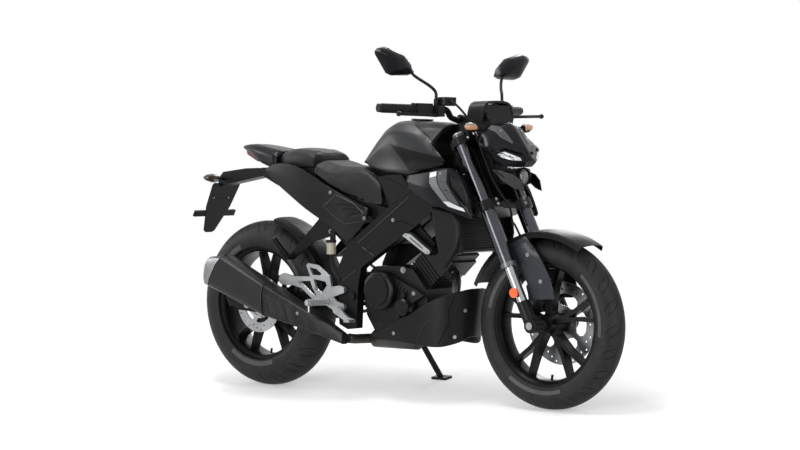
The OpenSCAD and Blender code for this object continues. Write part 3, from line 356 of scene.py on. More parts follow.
# Satin acrylic paint over pressed steel: deep grey with a soft, wide highlight. The field on the side below
# the ridge is painted shade, near-black where the facet would reflect dark surroundings, and the front
# cover's field is near-black too; together they draw the ridge as a sharp line
SATIN_GREY = Finish(
    "satin_grey_paint", "#161719", "#1a1b1d", 0.34, specular=0.24, grain_mm=0.9, bump_mm=0.008, spread=0.03,
    # first field: painted shade on the side facet below the ridge; second field: the darker front cover
    shade_and_cover_fields=(
        (
            ((45, 0, 916), (-0.186, 0, -0.983)),
            ((45, 0, 905), (0.65, 0, 0.76)),
            ((143, 0, 823), (0.05, 0, 1.0)),
        ),
        (((124, 0, 983), (0.48, 0, 0.878)),),
    ),
    shade_and_cover_colour="#0b0b0d",
    shade_and_cover_specular=0.1,
)
# Satin-moulded ABS of the fenders: black with a broad dim highlight
SATIN_BLACK = Finish("satin_black_abs", "#0b0b0d", "#0f0f11", 0.42, specular=0.11, grain_mm=0.9, bump_mm=0.02)
# Lacquered ABS: near-black with a blue cast and a sharp highlight
MIDNIGHT = Finish(
    "midnight_lacquered_abs", "#0b0b10", "#0e0e14", 0.28, specular=0.13, grain_mm=1.2, bump_mm=0.004,
    spread=0.03,
)
# Spark-eroded mould texture on ABS: fine grain that breaks the highlight up
GRAINED_ABS = Finish(
    "grained_abs", "#0c0c0d", "#101011", 0.44, specular=0.14, grain=Grain.CELLS, grain_mm=1.1, bump_mm=0.05,
    spread=0.1,
)
# Powder coat on steel and aluminium: smooth satin with a faint orange peel
POWDER_BLACK = Finish(
    "black_powder_coat", "#0b0b0c", "#0f0f10", 0.34, specular=0.15, grain_mm=1.6, bump_mm=0.02
)
# Enamel baked onto cast wheels: deep black with a soft shine
WHEEL_BLACK = Finish(
    "gloss_black_enamel", "#09090a", "#0c0c0d", 0.32, specular=0.12, grain_mm=1.5, bump_mm=0.01
)
# Painted sand casting: grain of the mould under the paint
PAINTED_CASTING = Finish(
    "painted_casting", "#101011", "#161618", 0.4, specular=0.21, metallic=0.1, grain_mm=1.8, bump_mm=0.09,
    spread=0.12,
)
# Black anodised aluminium tube: dark metal with a long streaky highlight
ANODISED = Finish("black_anodised_tube", "#47484c", "#4d4e52", 0.2, metallic=1.0, grain_mm=1.2, bump_mm=0.004)
# Grey anodised collar of the fork's lower seal: mid grey between the black tube and the chrome
COLLAR_GREY = Finish(
    "grey_anodised_collar", "#55575a", "#606265", 0.34, metallic=0.7, grain_mm=1.0, bump_mm=0.01
)
# Hard chrome ground onto the fork's inner tubes: a bright band with clear reflections
HARD_CHROME = Finish("hard_chrome", "#9fa1a4", "#aaacaf", 0.12, metallic=1.0, grain_mm=1.0, bump_mm=0.004)
# Cast and tumbled aluminium: pale grey with a fine sparkle
SILVER_CASTING = Finish(
    "tumbled_aluminium", "#96989a", "#a8aaac", 0.36, metallic=0.9, grain_mm=1.0, bump_mm=0.05, spread=0.12
)
# Zinc-plated steel: cool grey, a little streaky
PLATED_STEEL = Finish(
    "zinc_plated_steel", "#8a8b8d", "#9fa0a2", 0.32, metallic=1.0, grain_mm=2.0,
    bump_mm=0.01, stretch=(1.0, 6.0, 1.0),
)
# Ground stainless disc: the stone's fine marks
GROUND_STEEL = Finish(
    "ground_stainless", "#77797b", "#88898b", 0.34, metallic=1.0, grain_mm=0.8, bump_mm=0.02
)
# The rear disc, ground finer: paler and a little sharper
BRIGHT_DISC = Finish("bright_stainless", "#9b9c9e", "#adaeb0", 0.28, metallic=1.0, grain_mm=0.8, bump_mm=0.02)
# Header pipe under worn heat-proof paint: dark, with a brown cast where it has run hot
HEADER_STEEL = Finish(
    "heat_stained_header", "#1e1c1a", "#2b2724", 0.36, metallic=0.35, grain_mm=2.0, bump_mm=0.02
)
# Heat-proof silicone paint sprayed on the muffler: charcoal with a wide soft highlight
HEAT_PAINT = Finish("heat_proof_paint", "#131314", "#171718", 0.34, specular=0.28, grain_mm=0.9, bump_mm=0.03)
# Brushed end cap: grey steel with fine marks along the pipe
BRUSHED_CAP = Finish(
    "brushed_end_cap", "#7c7d7f", "#8d8e90", 0.34, metallic=1.0, grain_mm=1.6,
    bump_mm=0.02, stretch=(0.15, 1.0, 1.0),
)
# Heat-proof paint on the pressed heat shield: a shade lighter than the muffler behind it
SHIELD_PAINT = Finish(
    "painted_heat_shield", "#101011", "#161617", 0.36, specular=0.2, grain_mm=0.9, bump_mm=0.03
)
# Oiled chain steel: brown-grey metal, darker where the oil holds dust
CHAIN_STEEL = Finish("oiled_chain_steel", "#4b463e", "#5d574c", 0.4, metallic=0.9, grain_mm=3.0, bump_mm=0.03)
# Embossed vinyl: pebbled grain at 1.3 mm, soft sheen
VINYL = Finish(
    "pebbled_vinyl", "#131314", "#171718", 0.5, specular=0.15, sheen=0.03, grain=Grain.CELLS, grain_mm=1.3,
    bump_mm=0.12, spread=0.08,
)
# The same vinyl in grey, for the pillion seat's insert
VINYL_GREY = Finish(
    "pebbled_grey_vinyl", "#373739", "#3f3f41", 0.54, specular=0.2, sheen=0.04, grain=Grain.CELLS,
    grain_mm=1.3, bump_mm=0.12, spread=0.08,
)
# Tyre rubber: dull, a little dusty
TYRE_RUBBER = Finish(
    "tyre_rubber", "#19191a", "#212122", 0.56, specular=0.18, grain_mm=1.4, bump_mm=0.06, spread=0.1,
    cloud_mm=35.0,
)
# Raised bars of the sidewall, coloured paler than the rubber round them
TYRE_PALE = Finish(
    "pale_sidewall_rubber", "#434344", "#4d4d4e", 0.7, specular=0.2, grain_mm=1.4, bump_mm=0.06, cloud_mm=30.0
)
# Moulded grip rubber: matt black
GRIP_RUBBER = Finish("grip_rubber", "#0f0f10", "#141415", 0.56, specular=0.14, grain_mm=1.2, bump_mm=0.05)
# Glass-filled nylon of housings: dull black with a faint fibre grain
NYLON = Finish(
    "glass_filled_nylon", "#0c0c0d", "#111112", 0.42, specular=0.14, grain_mm=1.0, bump_mm=0.04, spread=0.1
)
# Silvered glass: a clean cool reflection
MIRROR = Finish(
    "silvered_glass", "#d5d9dc", "#dadddf", 0.03, metallic=1.0, grain_mm=40.0, bump_mm=0.001, spread=0.01
)
# Polycarbonate lenses, moulded clear or tinted in the mass: glossy, with more depth the clearer they are
CLEAR_LENS = Finish("clear_polycarbonate", "#e8ebec", "#eef0f1", 0.08, clear=0.85, ior=1.58, bump_mm=0.01)
AMBER_LENS = Finish("amber_polycarbonate", "#c98a5c", "#d59a6c", 0.12, clear=0.35, ior=1.58, bump_mm=0.02)
SMOKED_LENS = Finish("smoked_polycarbonate", "#2a2320", "#342a24", 0.1, coat=0.4, ior=1.58, bump_mm=0.01)
RED_LENS = Finish("red_polycarbonate", "#5c0a0c", "#741014", 0.1, coat=0.5, clear=0.2, ior=1.58, bump_mm=0.01)
ORANGE_LENS = Finish(
    "orange_prism_reflector", "#e2581a", "#ee6a24", 0.14, coat=0.5, ior=1.58, grain=Grain.CELLS, grain_mm=2.4,
    bump_mm=0.15,
)
# Moulded lamp housing: glossy black round the lenses
LAMP_BLACK = Finish("lamp_housing", "#0c0c0e", "#101012", 0.3, specular=0.16, coat=0.03, bump_mm=0.01)
# Polypropylene of the brake fluid cup: milky, yellowed by the fluid
MILKY_PLASTIC = Finish("milky_polypropylene", "#8f8c7a", "#9a9786", 0.4, clear=0.1, bump_mm=0.02)
# Nylon dyed red for the stop switch
RED_SWITCH = Finish("red_nylon", "#a8201c", "#b62a24", 0.4, bump_mm=0.02)
# Satin-sprayed ABS plates of the nose and scoops: plain mid grey
PLATE_GREY = Finish(
    "satin_sprayed_abs", "#3c3d3f", "#444547", 0.38, specular=0.35, grain_mm=0.9, bump_mm=0.01
)
# The same spray in a lighter grey, for the scoops' bands
BAND_GREY = Finish("satin_band_spray", "#5b5d60", "#636568", 0.36, specular=0.4, grain_mm=0.9, bump_mm=0.008)
# Hot-stamped silver foil: pale and even
FOIL_SILVER = Finish(
    "hot_stamped_foil", "#c3c5c6", "#cfd0d1", 0.3, metallic=0.35, grain_mm=0.9, bump_mm=0.006
)
# Lacquered fender panels: cool dark grey, a tone above the black beside it
COOL_GREY = Finish("cool_grey_lacquer", "#1e2026", "#24262c", 0.3, specular=0.3, grain_mm=1.0, bump_mm=0.006)
# Clear slit lens over a bright reflector: pale facets under gloss
SLIT_LENS = Finish(
    "clear_lens_over_reflector", "#b9bdc0", "#e6e9ea", 0.1, coat=0.6, metallic=0.25, grain_mm=4.0,
    bump_mm=0.05, cloud_mm=9.0,
)
# Woven steel screen in the inlets: small square cells with deep shade between the wires
INLET_MESH = Finish(
    "woven_inlet_screen", "#0b0b0c", "#131314", 0.5, specular=0.25, grain=Grain.WEAVE, grain_mm=3.2,
    bump_mm=1.2,
)
# Shade in a parting line between two panels
GAP_BLACK = Finish("parting_line_shade", "#050505", "#070707", 0.8, specular=0.05, bump_mm=0.01)
# Bonded nylon thread: a raised stitched line
THREAD = Finish(
    "bonded_thread", "#2c2c2d", "#363637", 0.6, specular=0.25, grain=Grain.WEAVE, grain_mm=3.0, bump_mm=0.4
)
# Raised bead along an edge or a rib, a tone lighter than the black round it: a painted highlight line, on top
# of the thin line of light it catches from the lamps
HIGHLIGHT_BEAD = Finish("bead_painted_highlight", "#161617", "#1b1b1c", 0.34, specular=0.3, grain_mm=1.0, bump_mm=0.01)
# Steel fasteners blackened in hot oil: dark, with a dull metal gleam
BLACK_BOLT = Finish("blackened_steel", "#1b1b1c", "#232325", 0.36, metallic=0.6, grain_mm=1.0, bump_mm=0.02)


@dataclass(frozen=True)
class Zone:
    """The part of a piece that lies beyond a plane, on both sides of the machine, and has its own finish.

    The plane's point and direction are upright, for the left half. A radius keeps the zone near the line
    through the point.
    """

    finish: Finish
    point: Point
    way: Point
    radius: float = 0.0

    def holds(self, spot: Vector) -> bool:
        """Tell whether an upright point lies in the zone.

        Args:
            spot: The point.

        Returns:
            True where it does.
        """
        away = Vector((spot.x, abs(spot.y), spot.z)) - Vector(self.point)
        along = away.dot(Vector(self.way))
        if along < 0:
            return False
        return not self.radius or (away - along * Vector(self.way)).length < self.radius


def mark_zones(mesh: bpy.types.Mesh, zones: tuple[Zone, ...]) -> None:
    """Add the zones' materials to a mesh and number its faces.

    Args:
        mesh: The mesh, in the row frame, with its first material already there.
        zones: The zones; a later one covers an earlier one.
    """
    upright = PARKED.inverted()
    for zone in zones:
        mesh.materials.append(zone.finish.material())
        number = len(mesh.materials) - 1
        for face in mesh.polygons:
            if zone.holds(upright @ face.center):
                face.material_index = number


@dataclass(frozen=True)
class Dress:
    """A finish for a CAD node, with the radius of its broken edges in millimetres."""

    finish: Finish
    edge_mm: float = 1.2
    smooth_deg: float = 32.0
    zones: tuple[Zone, ...] = ()


FORK_DOWN = (math.sin(RAKE), 0.0, -math.cos(RAKE))
FORK_UP = (-math.sin(RAKE), 0.0, math.cos(RAKE))

NODE_DRESS: dict[str, Dress] = {
    "frame": Dress(POWDER_BLACK, 3.0),
    "tray": Dress(GRAINED_ABS, 2.0),
    "airbox": Dress(GRAINED_ABS, 4.0),
    "engine": Dress(PAINTED_CASTING, 1.6),
    "clutch_cover": Dress(POWDER_BLACK, 3.0),
    "generator_cover": Dress(POWDER_BLACK, 3.0),
    "radiator": Dress(PAINTED_CASTING, 1.0),
    "radiator_shrouds": Dress(GRAINED_ABS, 3.0),
    "muffler": Dress(HEAT_PAINT, 3.0, 36.0),
    "muffler_cap": Dress(BRUSHED_CAP, 2.0, 36.0),
    "muffler_shield": Dress(SHIELD_PAINT, 2.0, 36.0),
    "swingarm": Dress(POWDER_BLACK, 4.0),
    "rear_shock": Dress(PAINTED_CASTING, 0.6),
    "rear_axle": Dress(PLATED_STEEL, 0.8),
    "chain": Dress(CHAIN_STEEL, 0.3),
    "filler_cap": Dress(POWDER_BLACK, 1.5),
    "knee_panels": Dress(GRAINED_ABS, 1.5),
    "tail_light": Dress(RED_LENS, 1.5),
    "plate_holder": Dress(GRAINED_ABS, 2.0),
    "rear_flashers": Dress(SMOKED_LENS, 1.0, zones=(Zone(NYLON, (0, 68, 0), (0, -1, 0)),)),
    "footrests": Dress(SILVER_CASTING, 1.6),
    "pillion_footrests": Dress(POWDER_BLACK, 1.6),
    "pedals": Dress(SILVER_CASTING, 1.2),
    "brake_hose": Dress(GRIP_RUBBER, 0.2, 60.0),
    "brake_reservoir": Dress(
        MILKY_PLASTIC,
        1.5,
        zones=(Zone(NYLON, (0, 0, 558.6), (0, 0, 1)), Zone(NYLON, (0, 123.4, 0), (0, -1, 0))),
    ),
    "rear_caliper": Dress(POWDER_BLACK, 2.0),
    "fork_clamps": Dress(POWDER_BLACK, 2.5),
    "fork_tubes": Dress(
        ANODISED,
        0.8,
        zones=(
            Zone(COLLAR_GREY, (550.4, 0, 507.8), FORK_DOWN),
            Zone(PLATED_STEEL, (337.5, 0, 944.8), FORK_UP),
        ),
    ),
    "fork_sliders": Dress(HARD_CHROME, 1.2, zones=(Zone(POWDER_BLACK, (614.6, 0, 376.1), FORK_DOWN),)),
    "front_axle": Dress(PLATED_STEEL, 0.8),
    "grips": Dress(GRIP_RUBBER, 0.8),
    "switchgear": Dress(NYLON, 5.0),
    "levers": Dress(POWDER_BLACK, 1.5),
    "mirror_glass": Dress(MIRROR, 0.3),
    "headlamp": Dress(
        LAMP_BLACK, 1.2, zones=(Zone(CLEAR_LENS, (542.9, 0, 803.9), (0.9945, 0, 0.1045), 25.5),)
    ),
    "meter": Dress(NYLON, 10.0),
    "mirrors": Dress(MIDNIGHT, 2.5, 40.0),
    "front_flashers": Dress(
        AMBER_LENS,
        1.0,
        zones=(
            Zone(CLEAR_LENS, (0, 0, 979), (0, 0, 1)),
            Zone(NYLON, (0, 138, 0), (0, -1, 0)),
            Zone(NYLON, (0, 0, 966), (0, 0, -1)),
        ),
    ),
    "front_caliper": Dress(POWDER_BLACK, 2.0),
    "fork_reflectors": Dress(ORANGE_LENS, 1.0),
    "front_wheel": Dress(WHEEL_BLACK, 2.0),
    "front_disc": Dress(GROUND_STEEL, 0.4),
    "rear_wheel": Dress(WHEEL_BLACK, 2.0),
    "rear_disc": Dress(BRIGHT_DISC, 0.4),
    "sprocket": Dress(CHAIN_STEEL, 0.4),
    "side_stand": Dress(POWDER_BLACK, 1.5),
}


def shade(mesh: bpy.types.Mesh, angle_deg: float) -> None:
    """Shade a mesh smooth, with edges sharp where they bend more than angle_deg."""
    mesh.polygons.foreach_set("use_smooth", [True] * len(mesh.polygons))
    mesh.set_sharp_from_angle(angle=math.radians(angle_deg))


def place(
    name: str,
    shape: bmesh.types.BMesh,
    body: Body,
    finishes: list[Finish],
    *,
    smooth_deg: float = 35.0,
    drawn_upright: bool = True,
) -> bpy.types.Object:
    """Turn a bmesh into a piece that rides on a body.

    Args:
        name: The piece's name.
        shape: The bmesh, which is freed.
        body: The body it rides on.
        finishes: One finish for each material number of its faces.
        smooth_deg: Edges that bend more than this stay sharp.
        drawn_upright: True where it is drawn upright in millimetres.

    Returns:
        The new object.
    """
    if drawn_upright:
        shape.transform(PARKED)
    mesh = bpy.data.meshes.new(name)
    shape.to_mesh(mesh)
    shape.free()
    for finish in finishes:
        mesh.materials.append(finish.material())
    shade(mesh, smooth_deg)
    piece = bpy.data.objects.new(name, mesh)
    bpy.context.scene.collection.objects.link(piece)
    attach(piece, body.value)
    LOG.info("%s rides on %s with %d faces", name, body.value, len(mesh.polygons))
    return piece


def add_modifier(piece: bpy.types.Object, kind: str, **settings: object) -> None:
    """Add a modifier with its settings.

    Args:
        piece: The object.
        kind: The modifier's type.
        settings: Attributes to set on it.
    """
    modifier = piece.modifiers.new(kind.title(), kind)
    for key, value in settings.items():
        setattr(modifier, key, value)


@dataclass
class CadDresser:
    """Finishes for the CAD nodes that stay in view."""

    nodes: dict[str, bpy.types.Object]

    def dress_all(self) -> None:
        """Dress every node that has an entry in NODE_DRESS."""
        for name, dress in NODE_DRESS.items():
            self.dress(name, dress)

    def dress(self, name: str, dress: Dress) -> None:
        """Give a node its material, broken edges and smooth shading.

        Args:
            name: The node.
            dress: Its finish and edge radius.
        """
        node = self.nodes[name]
        mesh = node.data
        mesh.materials.clear()
        mesh.materials.append(dress.finish.material())
        mesh.polygons.foreach_set("material_index", [0] * len(mesh.polygons))
        mark_zones(mesh, dress.zones)
        mesh.polygons.foreach_set("use_smooth", [True] * len(mesh.polygons))
        if mesh.has_custom_normals:
            bpy.context.view_layer.objects.active = node
            bpy.ops.mesh.customdata_custom_splitnormals_clear()
        add_modifier(node, "WELD", merge_threshold=WELD_M)
        add_modifier(
            node,
            "BEVEL",
            width=dress.edge_mm * MM,
            segments=2,
            limit_method="ANGLE",
            angle_limit=math.radians(dress.smooth_deg),
            use_clamp_overlap=True,
            harden_normals=False,
        )
        add_modifier(node, "WEIGHTED_NORMAL", keep_sharp=True, weight=60)
        LOG.info("%s dressed in %s", name, dress.finish.name)


@dataclass
class Panel:
    """A smooth skin over a lofted CAD node.

    The node's triangles are merged and paired again, folds sharper than crease_deg are kept, and the rest is
    subdivided. The corners of the cage are then pushed out until the smooth skin passes near the node's own
    corners, so that it keeps the node's size.
    """

    node: str
    body: Body
    finish: Finish
    crease_deg: float = 24.0
    crease: float = 0.7
    levels: int = 2
    fit_rounds: int = 4
    fit_share: float = 0.7
    pair_bend_deg: float = 50.0
    pair_skew_deg: float = 70.0
    zones: tuple[Zone, ...] = ()

    def shape(self, nodes: dict[str, bpy.types.Object]) -> bmesh.types.BMesh:
        """Copy the node's mesh as merged quads.

        Args:
            nodes: The CAD nodes by name.

        Returns:
            The bmesh, in the row frame.
        """
        shape = bmesh.new()
        shape.from_mesh(nodes[self.node].data)
        bmesh.ops.remove_doubles(shape, verts=shape.verts, dist=WELD_M)
        bmesh.ops.join_triangles(
            shape,
            faces=shape.faces,
            angle_face_threshold=math.radians(self.pair_bend_deg),
            angle_shape_threshold=math.radians(self.pair_skew_deg),
        )
        return shape

    def build(self, nodes: dict[str, bpy.types.Object]) -> bpy.types.Object:
        """Make the panel in place of its node.

        Args:
            nodes: The CAD nodes by name.

        Returns:
            The panel.
        """
        shape = self.shape(nodes)
        layer = shape.edges.layers.float.new("crease_edge")
        limit = math.radians(self.crease_deg)
        for edge in shape.edges:
            if len(edge.link_faces) == 2 and edge.calc_face_angle(0.0) > limit:
                edge[layer] = self.crease
        piece = place(
            self.node + "_panel", shape, self.body, [self.finish], smooth_deg=50.0, drawn_upright=False
        )
        mark_zones(piece.data, self.zones)
        add_modifier(piece, "SUBSURF", levels=self.levels, render_levels=self.levels)
        self._fit(piece)
        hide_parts(self.node)
        return piece

    def _fit(self, piece: bpy.types.Object) -> None:
        """Move the cage's corners until the smooth skin passes near the node's own corners.

        Args:
            piece: The panel with its subdivision.
        """
        mesh = piece.data
        wanted = [vert.co.copy() for vert in mesh.vertices]
        for _ in range(self.fit_rounds):
            smooth = piece.evaluated_get(bpy.context.evaluated_depsgraph_get()).data
            gaps = [goal - smooth.vertices[k].co for k, goal in enumerate(wanted)]
            for vert, gap in zip(mesh.vertices, gaps):
                vert.co += self.fit_share * gap
            mesh.update()
            piece.update_tag()
            bpy.context.view_layer.update()


PANELS = [
    Panel("fuel_tank", Body.CHASSIS, SATIN_GREY, crease_deg=20.0, crease=0.85),
    Panel("tank_scoops", Body.CHASSIS, MIDNIGHT, crease_deg=22.0, crease=0.85),
    Panel("belly_pan", Body.CHASSIS, GRAINED_ABS, crease_deg=16.0, crease=0.85),
    Panel("exhaust_pipe", Body.CHASSIS, HEADER_STEEL, crease_deg=40.0, levels=1),
    Panel("rear_hugger", Body.CHASSIS, SATIN_BLACK, crease_deg=30.0, levels=1),
    Panel("tail_cowl", Body.CHASSIS, MIDNIGHT, crease_deg=30.0),
    Panel("tail_covers", Body.CHASSIS, GRAINED_ABS, crease_deg=30.0),
    Panel("nose_cowl", Body.STEERING, MIDNIGHT, crease_deg=18.0, crease=0.9),
    Panel(
        "front_fender", Body.STEERING, SATIN_BLACK, crease_deg=30.0, levels=1,
        zones=(Zone(COOL_GREY, (0, 71.6, 0), (0, 1, 0)),),
    ),
    Panel("handlebar", Body.STEERING, POWDER_BLACK, crease_deg=50.0, levels=1),
]


@dataclass
class Cushion:
    """A foam pad under vinyl, puffed out by a short cloth simulation.

    It starts a little smaller than its CAD node, is blown up against its own cover, and no point moves
    further than cap_mm, so that its box stays near the node's. Faces that look down more steeply than
    held_below are held, and the insert lies on faces that look up more steeply than insert_above.
    """

    node: str
    body: Body
    finishes: list[Finish]
    voxel_mm: float = 5.0
    shrink_mm: float = 2.5
    round_rounds: int = 6
    cap_mm: float = 9.0
    pressure: float = 4.0
    frames: int = 20
    stretch_rounds: int = 14
    held_below: float = -0.3
    insert_above: float = 0.2
    insert: tuple[Spot, ...] = ()

    def build(self, nodes: dict[str, bpy.types.Object]) -> bpy.types.Object:
        """Make the cushion in place of its node.

        Args:
            nodes: The CAD nodes by name.

        Returns:
            The cushion.
        """
        shape = self._start(nodes)
        piece = place(
            self.node + "_cushion", shape, self.body, self.finishes, smooth_deg=70.0, drawn_upright=False
        )
        self._puff(piece)
        self._mark_insert(piece)
        add_modifier(piece, "SUBSURF", levels=1, render_levels=1)
        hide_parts(self.node)
        return piece

    def _start(self, nodes: dict[str, bpy.types.Object]) -> bmesh.types.BMesh:
        """Remesh the node evenly, round its edges and draw it in.

        Args:
            nodes: The CAD nodes by name.

        Returns:
            The bmesh, in the row frame.
        """
        copy = bpy.data.objects.new("cushion_start", nodes[self.node].data.copy())
        bpy.context.scene.collection.objects.link(copy)
        add_modifier(copy, "REMESH", mode="VOXEL", voxel_size=self.voxel_mm * MM)
        evaluated = copy.evaluated_get(bpy.context.evaluated_depsgraph_get())
        shape = bmesh.new()
        shape.from_mesh(evaluated.data)
        mesh = copy.data
        bpy.data.objects.remove(copy)
        bpy.data.meshes.remove(mesh)
        self._smooth(shape, shape.verts, self.round_rounds)
        bmesh.ops.recalc_face_normals(shape, faces=shape.faces)
        shape.normal_update()
        for vert in shape.verts:
            vert.co -= vert.normal * self.shrink_mm * MM
        return shape

    @staticmethod
    def _smooth(shape: bmesh.types.BMesh, verts: list[bmesh.types.BMVert], rounds: int) -> None:
        """Move vertices halfway to the middle of their neighbours.

        Args:
            shape: The bmesh.
            verts: The vertices that move.
            rounds: How many times.
        """
        for _ in range(rounds):
            bmesh.ops.smooth_vert(
                shape, verts=verts, factor=0.5, use_axis_x=True, use_axis_y=True, use_axis_z=True
            )

    def _puff(self, piece: bpy.types.Object) -> None:
        """Blow the pad up with its underside held, and keep each move within the cap.

        Args:
            piece: The pad.
        """
        mesh = piece.data
        held = [v.index for v in mesh.vertices if v.normal.z < self.held_below]
        group = piece.vertex_groups.new(name="held")
        group.add(held, 1.0, "REPLACE")
        start = [v.co.copy() for v in mesh.vertices]
        modifier = piece.modifiers.new("Cloth", "CLOTH")
        cloth = modifier.settings
        cloth.quality = 5
        cloth.use_pressure = True
        cloth.uniform_pressure_force = self.pressure
        cloth.vertex_group_mass = group.name
        cloth.effector_weights.gravity = 0.0
        modifier.point_cache.frame_start = 1
        modifier.point_cache.frame_end = self.frames
        scene = bpy.context.scene
        for frame in range(1, self.frames + 1):
            scene.frame_set(frame)
        evaluated = piece.evaluated_get(bpy.context.evaluated_depsgraph_get())
        moved = [v.co.copy() for v in evaluated.data.vertices]
        piece.modifiers.remove(modifier)
        scene.frame_set(1)
        cap = self.cap_mm * MM
        for vert, old, new in zip(mesh.vertices, start, moved):
            move = new - old
            if move.length > cap:
                move.length = cap
            vert.co = old + move
        self._stretch_cover(mesh, set(held))
        LOG.info("%s puffed out over %d frames", piece.name, self.frames)

    def _stretch_cover(self, mesh: bpy.types.Mesh, held: set[int]) -> None:
        """Draw the small wrinkles out, as a cover stretched over foam does.

        Args:
            mesh: The puffed mesh.
            held: The numbers of the vertices that stay.
        """
        shape = bmesh.new()
        shape.from_mesh(mesh)
        free = [vert for vert in shape.verts if vert.index not in held]
        self._smooth(shape, free, self.stretch_rounds)
        shape.to_mesh(mesh)
        shape.free()
        mesh.update()

    def _mark_insert(self, piece: bpy.types.Object) -> None:
        """Give the second finish to the faces inside the insert's outline, seen from the top.

        Args:
            piece: The pad.
        """
        if not self.insert:
            return
        upright = PARKED.inverted()
        for face in piece.data.polygons:
            spot = upright @ face.center
            if face.normal.z > self.insert_above and inside((spot.x, abs(spot.y)), self.insert):
                face.material_index = 1


def inside(spot: Spot, outline: tuple[Spot, ...]) -> bool:
    """Tell whether a spot lies in an outline.

    Args:
        spot: Its two numbers.
        outline: The corners in order.

    Returns:
        True where it lies inside.
    """
    count = 0
    for p, q in zip(outline, outline[1:] + outline[:1]):
        if (p[1] > spot[1]) != (q[1] > spot[1]):
            cross = p[0] + (spot[1] - p[1]) * (q[0] - p[0]) / (q[1] - p[1])
            count += cross > spot[0]
    return count % 2 == 1


CUSHIONS = [
    Cushion("seat", Body.CHASSIS, [VINYL]),
    Cushion(
        "pillion_seat", Body.CHASSIS, [VINYL, VINYL_GREY],
        insert=((-520, -1), (-516, 40), (-480, 62), (-420, 72), (-376, 66), (-358, 40), (-354, -1)),
    ),
]


